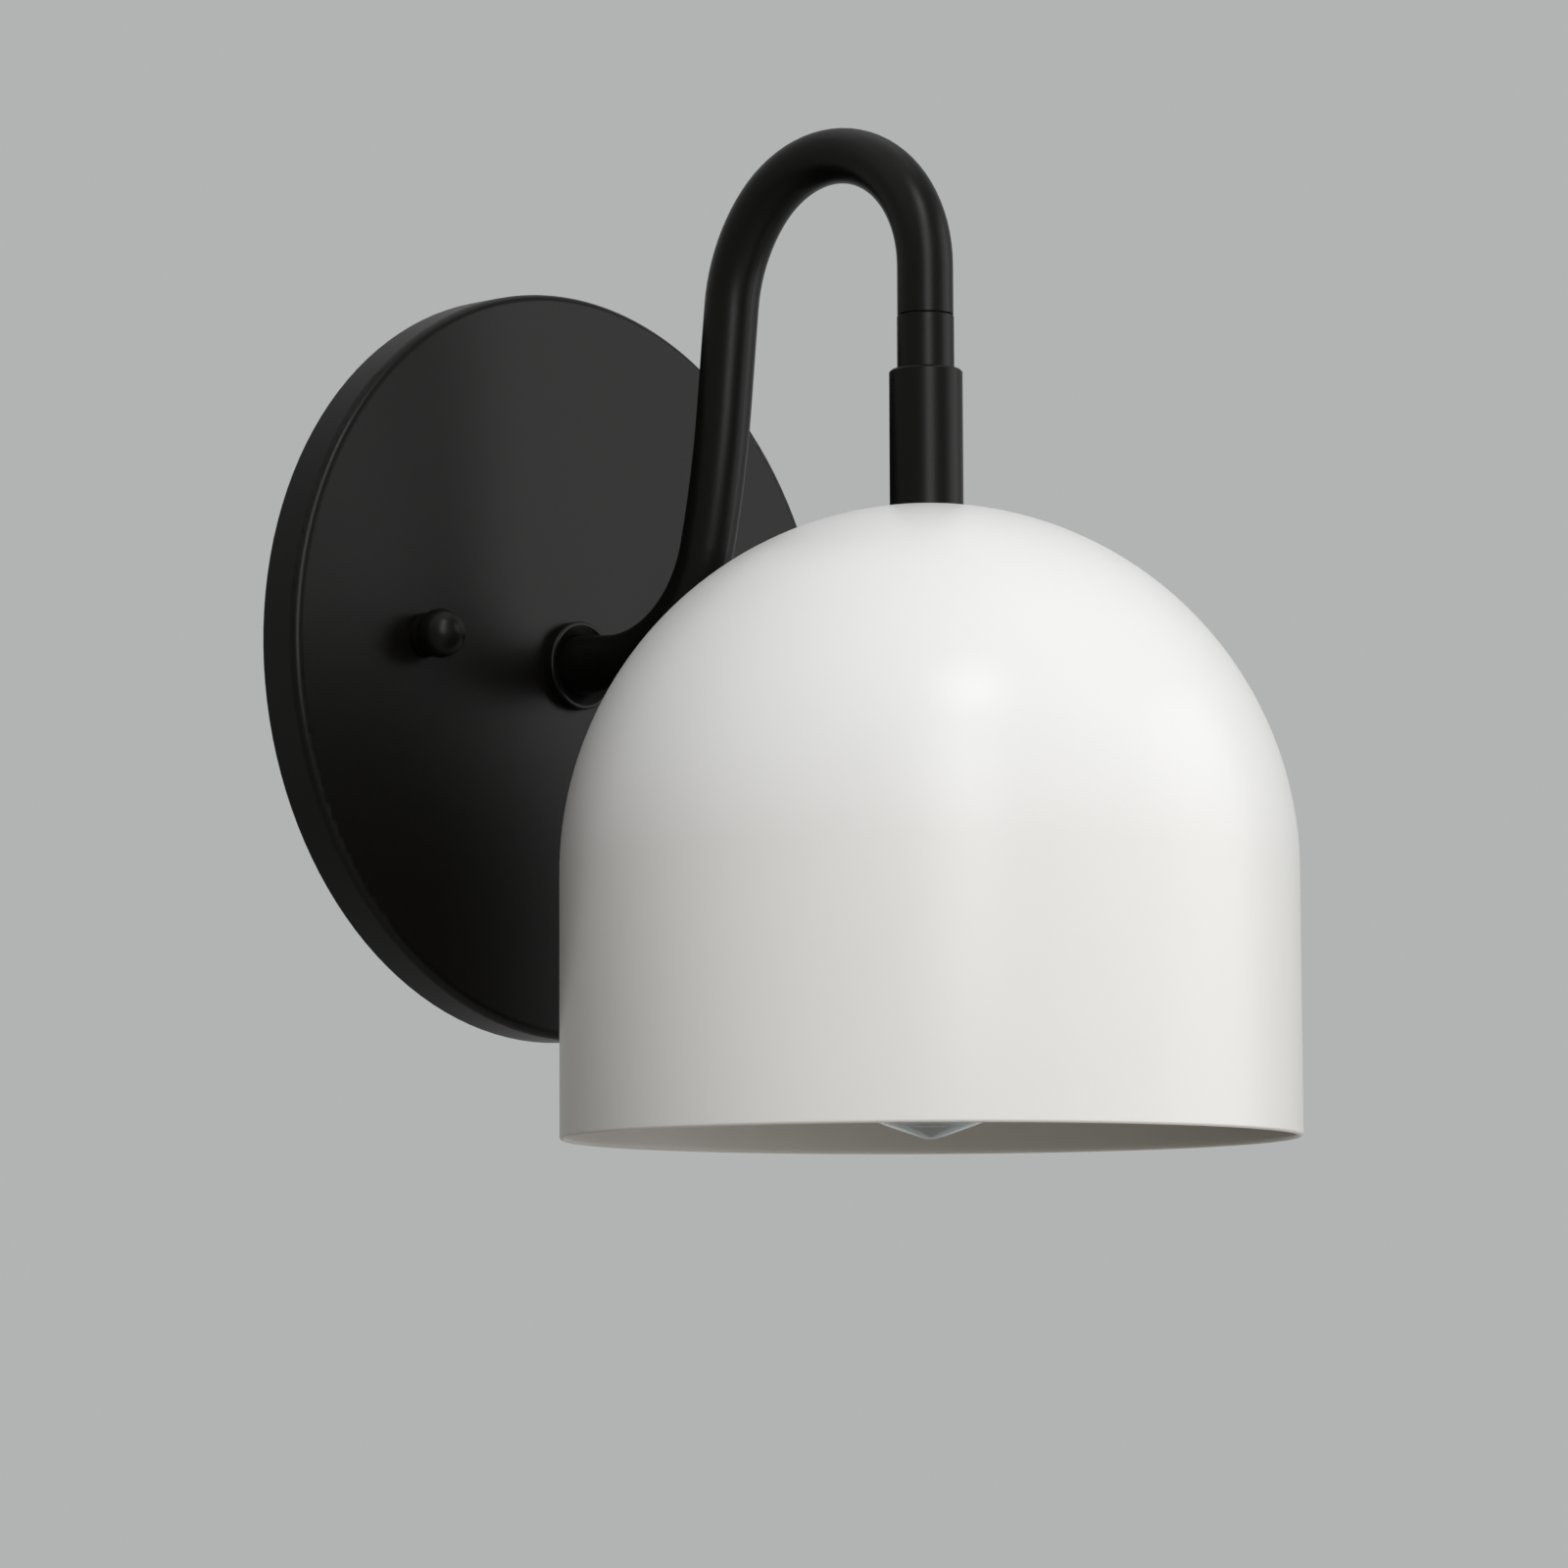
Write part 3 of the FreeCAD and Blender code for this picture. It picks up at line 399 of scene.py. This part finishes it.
def plastic(name, hex_colour, roughness, grain, relief, **sockets):
    """Moulded or extruded plastic with a fine skin texture."""
    material, tree, shader = new_material(name, hex_colour, roughness, **sockets)
    place = add(tree, "ShaderNodeTexCoord").outputs["Object"]
    skin = add(tree, "ShaderNodeTexNoise", {"Vector": place, "Scale": 1 / grain, "Detail": 3.0})
    bump = add(tree, "ShaderNodeBump",
               {"Strength": 1.0, "Distance": relief, "Height": skin.outputs[0]})
    tree.links.new(bump.outputs[0], shader.inputs["Normal"])
    gloss = add(tree, "ShaderNodeMapRange",
                {0: skin.outputs[0], 3: roughness - SKIN_SWING, 4: roughness + SKIN_SWING})
    tree.links.new(gloss.outputs[0], shader.inputs["Roughness"])
    return material


# Nylon: matt black that mirrors nothing sharply.
finishes["black_nylon"] = plastic("moulded_nylon", "#1c1c1d", 0.55, 0.5 * MM, 0.01 * MM)
# PVC jacket: satin black with a soft, slightly uneven skin.
finishes["cable_jacket"] = plastic("extruded_pvc_jacket", "#191919", 0.5, 0.8 * MM, 0.02 * MM)
# PVC on the cores: smoother than the jacket, one black and one ivory white.
finishes["black_core"] = plastic("black_pvc_insulation", "#151515", 0.4, 0.8 * MM, 0.01 * MM)
finishes["white_core"] = plastic("white_pvc_insulation", "#dedcd4", 0.4, 0.8 * MM, 0.01 * MM)
# Phenolic: hard and glossy, black with a hint of brown.
finishes["black_phenolic"] = plastic("moulded_phenolic", "#1a1715", 0.28, 0.9 * MM, 0.01 * MM)
# Vitrified glass: nearly black and the glossiest of all.
finishes["black_glass"] = plastic("vitrified_glass_insulator", "#0d0d10", 0.12,
                                  1.5 * MM, 0.004 * MM)
# Phosphor in silicone: dull yellow that lets a little light in.
finishes["phosphor"] = plastic("phosphor_silicone", "#d9a345", 0.45, 0.4 * MM, 0.01 * MM,
                               Subsurface_Weight=0.1)
print("plastics done, finishes so far:", len(finishes))

# %% [markdown]
# ## Bulb glass
# The bulb is blown from soda lime glass, clear with a faint cool tint. Full transmission and the
# glass's own index of 1.52 give its bright rim and the bend in what stands behind. Perfectly even
# walls would look like a drawing, so slow ripples, as the mould leaves them, stir the reflections.

# %% Blown glass
GLASS_RIPPLE = 9.0 * MM
RIPPLE_HEIGHT = 0.04 * MM


def blown_glass(name, hex_colour):
    """Clear blown glass, whose wall keeps slow ripples from the mould."""
    material, tree, shader = new_material(name, hex_colour, 0.0, IOR=1.52, Transmission_Weight=1.0)
    place = add(tree, "ShaderNodeTexCoord").outputs["Object"]
    ripple = add(tree, "ShaderNodeTexNoise",
                 {"Vector": place, "Scale": 1 / GLASS_RIPPLE, "Detail": 1.0})
    bump = add(tree, "ShaderNodeBump",
               {"Strength": 1.0, "Distance": RIPPLE_HEIGHT, "Height": ripple.outputs[0]})
    tree.links.new(bump.outputs[0], shader.inputs["Normal"])
    return material


finishes["clear_glass"] = blown_glass("blown_soda_lime_glass", "#d4dada")
print("finishes:", ", ".join(sorted(finishes)))

# %% [markdown]
# ## Dressing the CAD nodes
# The CAD record gives every node a material slot, such as zinc_steel. Each finish above carries
# the name of its slot, so one loop dresses all the nodes and none can be forgotten.

# %% Give every CAD node the finish of its material slot
slot_of = {part["node"]: part["material_slot"] for part in frame["record"]["subparts"]}
for name, node in nodes.items():
    node.data.materials.clear()
    node.data.materials.append(finishes[slot_of[name]])
print("dressed", len(nodes), "CAD nodes")

# %% [markdown]
# ## Tools for turned and threaded pieces
# The CAD model draws every thread as a plain cylinder, because the motion has no use for a helix.
# The eye does. A turned piece starts as a closed outline of radius and height: one corner is
# extruded into the next, and a full spin round Z closes the form. The Screw modifier could spin
# it as well, but here the points are needed at once. Where a thread goes, the outline gets many
# evenly spaced points.

# %% Turn an outline
def even(start, end, step):
    """Evenly spaced outline points from start towards end, which is left out."""
    run = Vector(end) - Vector(start)
    count = max(1, round(run.length / step))
    return [tuple(Vector(start) + run * index / count) for index in range(count)]


def turn(outline, steps):
    """Spin a closed outline of (radius, height) points round the Z axis into a new bmesh."""
    form = bmesh.new()
    corner = form.verts.new((outline[0][0], 0.0, outline[0][1]))
    corners, edges = [corner], []
    for radius, height in outline[1:]:
        grown = bmesh.ops.extrude_vert_indiv(form, verts=corners[-1:])
        grown["verts"][0].co = (radius, 0.0, height)
        corners += grown["verts"]
        edges += grown["edges"]
    edges.append(form.edges.new((corners[-1], corners[0])))
    bmesh.ops.spin(form, geom=corners + edges, cent=(0, 0, 0), axis=(0, 0, 1), angle=math.tau,
                   steps=steps, use_merge=True)
    return form


print("outline points on 10 mm at 1 mm:", len(even((0.0, 0.0), (0.0, 10.0), 1.0)))

# %% [markdown]
# A thread is rolled on the real part: two hardened dies press the valleys into a smooth blank.
# The same is done here. Every point between two heights moves towards the axis by the depth of
# the valley at its place on the helix. The phase grows with height and falls with the angle round
# the axis, which makes a right-handed screw. A separate helix cut out of the blank would do too,
# but leaves ragged ends, while this valley runs out softly.

# %% Roll a thread
def valley(phase, sharp):
    """Share of the thread's depth at a phase of its turn: 0 on the crest, 1 in the root."""
    return 1 - abs(2 * phase - 1) if sharp else (1 - math.cos(math.tau * phase)) / 2


def roll_thread(form, pitch, depth, low, high, skin=0.0, sharp=True):
    """Press a right-handed thread into the points outside the skin radius, between two heights."""
    for point in form.verts:
        radius = point.co.to_2d().length
        room = min(point.co.z - low, high - point.co.z)
        if radius < skin or room <= 0:
            continue
        phase = (point.co.z / pitch - math.atan2(point.co.y, point.co.x) / math.tau) % 1.0
        run_out = min(1.0, 2 * room / pitch)
        point.co.xy *= 1 - depth * valley(phase, sharp) * run_out / radius


print("an eighth of a turn past the crest, a sharp valley is %.2f deep and a round one %.2f"
      % (valley(0.125, True), valley(0.125, False)))

# %% [markdown]
# A finished form becomes an object at the origin, with its place in its mesh, so that patterns
# measured in object space stay put. Doubles are merged first, and the normals are made to point
# outwards. Faces are shaded smooth, but an edge that bends sharply stays crisp, which is what
# Shade Auto Smooth does by hand.

# %% Finish a piece
WELD = 0.002 * MM
SHARP_ANGLE = math.radians(32)


def finish_piece(name, form, slot, body, stands_for=None, place=Matrix()):
    """Make a bmesh a piece with a slot's finish that rides on a body, perhaps for a CAD node."""
    bmesh.ops.remove_doubles(form, verts=form.verts, dist=WELD)
    bmesh.ops.recalc_face_normals(form, faces=form.faces)
    bmesh.ops.transform(form, matrix=place, verts=form.verts)
    for face in form.faces:
        face.smooth = True
    for edge in form.edges:
        edge.smooth = edge.calc_face_angle(0.0) < SHARP_ANGLE
    mesh = bpy.data.meshes.new(name)
    form.to_mesh(mesh)
    form.free()
    mesh.materials.append(finishes[slot])
    piece = bpy.data.objects.new(name, mesh)
    bpy.context.scene.collection.objects.link(piece)
    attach(piece, body)
    if stands_for:
        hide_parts(stands_for)
    print("%s: %d faces" % (name, len(mesh.polygons)))
    return piece


print("edges sharper than %.0f degrees stay crisp" % math.degrees(SHARP_ANGLE))

# %% [markdown]
# ## The shade
# A real shade is spun from a flat disc over a former, so it is a turned piece too. The CAD mesh
# is split into long thin triangles, which shows at the small round hem. Turned again in fine
# steps from the same outline, the dome, the skirt and the hem carry a clean highlight. Inside,
# the thicker hem runs out into the sheet so slowly that no line shows. An arc in an outline is a
# row of points round a centre. A Subdivision Surface could round the dome too, but would soften
# the seat's edge as well.

# %% Spun shade
SHADE_STEPS = 288
DOME_STEPS = 48
HEM_STEPS = 10
SHEET = 1.2 * MM
HEM = 1.5 * MM
HEM_BLEND = 9.0 * MM
SEAT_RADIUS = 8.4 * MM
NIPPLE_HOLE = 5.15 * MM


def arc(centre, radius, start, end, count):
    """Outline points on an arc, with both ends, from and to an angle in degrees."""
    angles = [math.radians(start + (end - start) * index / count) for index in range(count + 1)]
    return [(centre[0] + radius * math.cos(angle), centre[1] + radius * math.sin(angle))
            for angle in angles]


def shade_form():
    """Flat seat, dome, straight skirt and rolled hem, inside and out."""
    low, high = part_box("shade")
    outer = min(span("shade").x, span("shade").y) / 2
    inner = outer - SHEET
    dome = (0.0, high.z - math.sqrt(outer ** 2 - SEAT_RADIUS ** 2))
    crown = math.degrees(math.acos(SEAT_RADIUS / outer))
    inner_crown = math.degrees(math.asin((high.z - SHEET - dome[1]) / inner))
    hem = (outer - HEM / 2, low.z + HEM / 2)
    blank = [(NIPPLE_HOLE, high.z),
             *arc(dome, outer, crown, 0, DOME_STEPS),
             *arc(hem, HEM / 2, 0, -180, HEM_STEPS),
             (outer - HEM, low.z + HEM),
             (inner, low.z + HEM + HEM_BLEND),
             *arc(dome, inner, 0, inner_crown, DOME_STEPS),
             (NIPPLE_HOLE, high.z - SHEET)]
    return turn(blank, SHADE_STEPS)


finish_piece("spun_shade", shade_form(), slot_of["shade"], "lamp_head", "shade", ON_LAMP_AXIS)

# %% [markdown]
# ## Studs and nipples
# The canopy hangs on two 8-32 studs, and hollow nipples with a 27-per-inch pipe thread tie the
# arm and the shade. Pieces that point away from the mounting plane are turned about Z like the
# others, because the thread counts its height along Z, and are then laid over so that up becomes
# outwards.

# %% Threaded studs
OUTWARDS = Matrix.Rotation(math.radians(90), 4, "X")
ROWS_PER_PITCH = 6
STUD_PITCH = 25.4 / 32 * MM
STUD_THREAD_DEPTH = 0.42 * MM
STUD_CHAMFER = 0.5 * MM
STUD_STEPS = 36


def threaded_stud(name, x):
    """Stud with chamfered ends, standing outwards at x."""
    radius = span("bracket_studs").z / 2
    length = span("bracket_studs").y
    blank = [(0.0, 0.0),
             (radius - STUD_CHAMFER, 0.0),
             *even((radius, STUD_CHAMFER), (radius, length - STUD_CHAMFER),
                   STUD_PITCH / ROWS_PER_PITCH),
             (radius, length - STUD_CHAMFER),
             (radius - STUD_CHAMFER, length),
             (0.0, length)]
    form = turn(blank, STUD_STEPS)
    roll_thread(form, STUD_PITCH, STUD_THREAD_DEPTH, STUD_CHAMFER / 2, length - STUD_CHAMFER / 2,
                skin=radius / 2)
    place = Matrix.Translation((x, 0.0, middle("bracket_studs").z)) @ OUTWARDS
    return finish_piece(name, form, slot_of["bracket_studs"], "wall_side", "bracket_studs", place)


for side in ("left", "right"):
    threaded_stud(side + "_threaded_stud", middle(side + "_cap_nut").x)

# %% Threaded nipples
NIPPLE_PITCH = 25.4 / 27 * MM
NIPPLE_THREAD_DEPTH = 0.55 * MM
NIPPLE_WALL = 1.5 * MM
NIPPLE_CHAMFER = 0.4 * MM
NIPPLE_STEPS = 48


def threaded_nipple(radius, low, high):
    """Hollow nipple about Z with chamfered ends and a thread over its whole length."""
    bore = radius - NIPPLE_WALL
    blank = [(bore, low),
             (radius - NIPPLE_CHAMFER, low),
             *even((radius, low + NIPPLE_CHAMFER), (radius, high - NIPPLE_CHAMFER),
                   NIPPLE_PITCH / ROWS_PER_PITCH),
             (radius, high - NIPPLE_CHAMFER),
             (radius - NIPPLE_CHAMFER, high),
             (bore, high)]
    form = turn(blank, NIPPLE_STEPS)
    roll_thread(form, NIPPLE_PITCH, NIPPLE_THREAD_DEPTH, low, high,
                skin=radius - NIPPLE_CHAMFER / 2)
    return form


def arm_nipple_form():
    """Nipple that ties the arm to the canopy. Outwards is -Y, so heights are minus Y."""
    front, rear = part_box("arm_nipple")
    return threaded_nipple(span("arm_nipple").x / 2, -rear.y, -front.y)


def shade_nipple_form():
    """Nipple that ties the shade and the lampholder to the neck."""
    low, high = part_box("shade_nipple")
    return threaded_nipple(span("shade_nipple").x / 2, low.z, high.z)


finish_piece("threaded_arm_nipple", arm_nipple_form(), slot_of["arm_nipple"], "wall_side",
             "arm_nipple", OUTWARDS)
finish_piece("threaded_shade_nipple", shade_nipple_form(), slot_of["shade_nipple"], "lamp_head",
             "shade_nipple", ON_LAMP_AXIS)

# %% [markdown]
# ## Screw shell and bulb base
# Both are drawn cups of thin metal. The medium screw has seven turns to the inch, and its rounded
# waves are pressed through the wall, so the inside carries the same thread as the outside. A
# thread in a bump map would look flat at the edge of the cup, so it is real here. Shell and base
# share one helix, worked out from the same zero, and so they stay in step when the bulb screws in
# or out.

# %% Rolled bulb base
BULB_PITCH = 25.4 / 7 * MM
BULB_THREAD_DEPTH = 0.75 * MM
BULB_ROW = BULB_PITCH / 12
BULB_STEPS = 96
PLAIN_BAND = 1.2 * MM
BASE_WALL = 0.4 * MM


def bulb_base_form():
    """Drawn cup: plain rim, rolled thread, sloping shoulder and a lip round the insulator."""
    low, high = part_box("bulb_base")
    radius = span("bulb_base").x / 2
    inner = radius - BASE_WALL
    lip = span("bulb_insulator").x / 2
    shoulder = high.z - BULB_THREAD_DEPTH
    blank = [*even((radius, low.z), (radius, shoulder - PLAIN_BAND), BULB_ROW),
             (radius, shoulder - PLAIN_BAND),
             (radius - BULB_THREAD_DEPTH, shoulder),
             (lip + BASE_WALL, high.z),
             (lip, high.z),
             (lip, high.z - BASE_WALL),
             (radius - BULB_THREAD_DEPTH - BASE_WALL, shoulder - BASE_WALL),
             *even((inner, shoulder - PLAIN_BAND), (inner, low.z), BULB_ROW),
             (inner, low.z)]
    form = turn(blank, BULB_STEPS)
    roll_thread(form, BULB_PITCH, BULB_THREAD_DEPTH, low.z + PLAIN_BAND, shoulder - PLAIN_BAND,
                sharp=False)
    return form


finish_piece("rolled_bulb_base", bulb_base_form(), slot_of["bulb_base"], "bulb", "bulb_base",
             ON_LAMP_AXIS)

# %% Rolled screw shell
SHELL_WALL = 0.6 * MM
SHELL_THROAT = 6.5 * MM
SHELL_TOP_OVER_CONTACT = 1.6 * MM


def screw_shell_form():
    """Drawn cup with a throat in its top, open downwards, threaded inside and out."""
    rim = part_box("screw_shell")[0].z
    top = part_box("centre_contact")[0].z + SHELL_TOP_OVER_CONTACT
    radius = span("screw_shell").x / 2
    inner = radius - SHELL_WALL
    blank = [*even((radius, rim), (radius, top), BULB_ROW),
             (radius, top),
             (SHELL_THROAT, top),
             (SHELL_THROAT, top - SHELL_WALL),
             *even((inner, top - SHELL_WALL), (inner, rim), BULB_ROW),
             (inner, rim)]
    form = turn(blank, BULB_STEPS)
    roll_thread(form, BULB_PITCH, BULB_THREAD_DEPTH, rim + PLAIN_BAND, top - PLAIN_BAND,
                sharp=False)
    return form


finish_piece("rolled_screw_shell", screw_shell_form(), slot_of["screw_shell"], "lamp_head",
             "screw_shell", ON_LAMP_AXIS)

# %% [markdown]
# The neutral core ends at a terminal screw, which needs more metal than the thin shell has. On
# the real lampholder a threaded boss is riveted to the shell's top for it. It is a plain ring
# here, turned like the rest, because the screw hides its bore.

# %% Neutral terminal on the shell's top
TERMINAL_OFFSET = 9.0 * MM
BOSS_RADIUS = 3.0 * MM
BOSS_BORE = 1.5 * MM
BOSS_FOOT_OVER_CONTACT = 1.3 * MM
BOSS_STEPS = 36


def terminal_boss_form():
    """Plain ring from just inside the shell's top up to the shell node's highest point."""
    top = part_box("screw_shell")[1].z
    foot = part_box("centre_contact")[0].z + BOSS_FOOT_OVER_CONTACT
    return turn([(BOSS_BORE, foot), (BOSS_RADIUS, foot), (BOSS_RADIUS, top), (BOSS_BORE, top)],
                BOSS_STEPS)


finish_piece("neutral_terminal_boss", terminal_boss_form(), slot_of["screw_shell"], "lamp_head",
             place=ON_LAMP_AXIS @ Matrix.Translation((-TERMINAL_OFFSET, 0.0, 0.0)))

# %% [markdown]
# ## Small parts of the bulb
# The filament rods are thin sapphire strips under a yellow phosphor. Each end sits in a welded
# metal sleeve, and two lead wires run up through the glass stem to feed them. Both are too small
# for the CAD model, but the glass shows them. One sleeve is turned and bmesh copies it to the
# eight places, which keeps them one piece, as an Array modifier round a circle would.

# %% Copy a form to several places
def repeat(form, places):
    """Copy the whole form to each place, and take the first one away."""
    first = form.verts[:] + form.edges[:] + form.faces[:]
    for place in places:
        copy = bmesh.ops.duplicate(form, geom=first)["geom"]
        corners = [item for item in copy if isinstance(item, bmesh.types.BMVert)]
        bmesh.ops.transform(form, matrix=place, verts=corners)
    corners = [item for item in first if isinstance(item, bmesh.types.BMVert)]
    bmesh.ops.delete(form, geom=corners, context="VERTS")
    return form


print("copies made this way stay one piece")

# %% Sleeves at the ends of the filament rods
ROD_RADIUS = 0.9 * MM
ROD_COUNT = 4
SLEEVE_RADIUS = 1.05 * MM
SLEEVE_LENGTH = 1.5 * MM
SLEEVE_LIP = 0.15 * MM
SLEEVE_STEPS = 24


def sleeves_form():
    """A cap over each end of every rod. The rods stand in a square round the lamp's axis."""
    low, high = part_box("bulb_filaments")
    ring_radius = (span("bulb_filaments").x / 2 - ROD_RADIUS) * math.sqrt(2)
    sleeve = [(0.0, -SLEEVE_LIP), (SLEEVE_RADIUS, -SLEEVE_LIP), (SLEEVE_RADIUS, SLEEVE_LENGTH),
              (ROD_RADIUS, SLEEVE_LENGTH), (ROD_RADIUS, 0.0), (0.0, 0.0)]
    upside_down = Matrix.Rotation(math.pi, 4, "X")
    places = []
    for index in range(ROD_COUNT):
        around = Matrix.Rotation(math.tau * (index + 0.5) / ROD_COUNT, 4, "Z")
        at_rod = around @ Matrix.Translation((ring_radius, 0, 0))
        places += [Matrix.Translation((0, 0, low.z)) @ at_rod,
                   Matrix.Translation((0, 0, high.z)) @ at_rod @ upside_down]
    return repeat(turn(sleeve, SLEEVE_STEPS), places)


finish_piece("filament_sleeves", sleeves_form(), "steel_wire", "bulb", place=ON_LAMP_AXIS)

# %% Lead wires in the glass stem
LEAD_RADIUS = 0.3 * MM
LEAD_OFFSET = 1.2 * MM
LEAD_INSET = 1.0 * MM
LEAD_STEPS = 16


def lead_wires_form():
    """Two wires from inside the stem's foot: one to the near, one to the far ends of the rods."""
    low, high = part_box("bulb_filaments")
    foot = middle("bulb_stem").z + span("bulb_stem").z / 2 - LEAD_INSET
    form = bmesh.new()
    for side, far_end in ((-1, high.z), (1, low.z)):
        length = foot - far_end
        stand = Matrix.Translation((side * LEAD_OFFSET, 0.0, foot - length / 2))
        bmesh.ops.create_cone(form, cap_ends=True, segments=LEAD_STEPS, radius1=LEAD_RADIUS,
                              radius2=LEAD_RADIUS, depth=length, matrix=stand)
    return form


finish_piece("stem_lead_wires", lead_wires_form(), "steel_wire", "bulb", place=ON_LAMP_AXIS)

# %% [markdown]
# ## The cable's cut end
# Behind the canopy the supply cable is cut, and its two cores look out of the jacket, each with
# seven tinned strands. A picture on the flat end could show them, but the light would not catch
# it, so each core is a short turned tube and each strand a thin cylinder.

# %% Cores and strands
CORE_RADIUS = 0.9 * MM
CORE_BORE = 0.5 * MM
CORE_OFFSET = 1.1 * MM
CORE_STANDOUT = 0.3 * MM
CORE_STEPS = 32
STRAND_RADIUS = 0.17 * MM
STRAND_STANDOUT = 0.6 * MM
STRAND_STEPS = 12
OUTER_STRANDS = 6
BURIED = 1.0 * MM


def core_form():
    """Tube of insulation, its upper end buried in the jacket and its cut end facing down."""
    return turn([(CORE_BORE, BURIED), (CORE_RADIUS, BURIED), (CORE_RADIUS, -CORE_STANDOUT),
                 (CORE_BORE, -CORE_STANDOUT)], CORE_STEPS)


def strands_form():
    """One strand with six round it."""
    form = bmesh.new()
    bmesh.ops.create_cone(form, cap_ends=True, segments=STRAND_STEPS, radius1=STRAND_RADIUS,
                          radius2=STRAND_RADIUS, depth=BURIED + STRAND_STANDOUT)
    height = (BURIED - STRAND_STANDOUT) / 2
    places = [Matrix.Translation((0.0, 0.0, height))]
    for index in range(OUTER_STRANDS):
        around = Matrix.Rotation(math.tau * index / OUTER_STRANDS, 4, "Z")
        places.append(around @ Matrix.Translation((2 * STRAND_RADIUS, 0.0, height)))
    return repeat(form, places)


cable_end = -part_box("supply_cable")[1].y
for side, slot in ((-1, "black_core"), (1, "white_core")):
    core_place = OUTWARDS @ Matrix.Translation((side * CORE_OFFSET, 0.0, cable_end))
    finish_piece(slot + "_cut_end", core_form(), slot, "wall_side", place=core_place)
    finish_piece(slot + "_strands", strands_form(), "solder", "wall_side", place=core_place)

# %% [markdown]
# ## Showing colours as they are written
# Blender can bend colours like film does. The Standard view leaves them alone, so a finish shows
# the colour that it was given. The last measure sets the dressed model's box beside the CAD
# model's, which it must not outgrow.

# %% View settings
bpy.context.scene.view_settings.view_transform = "Standard"
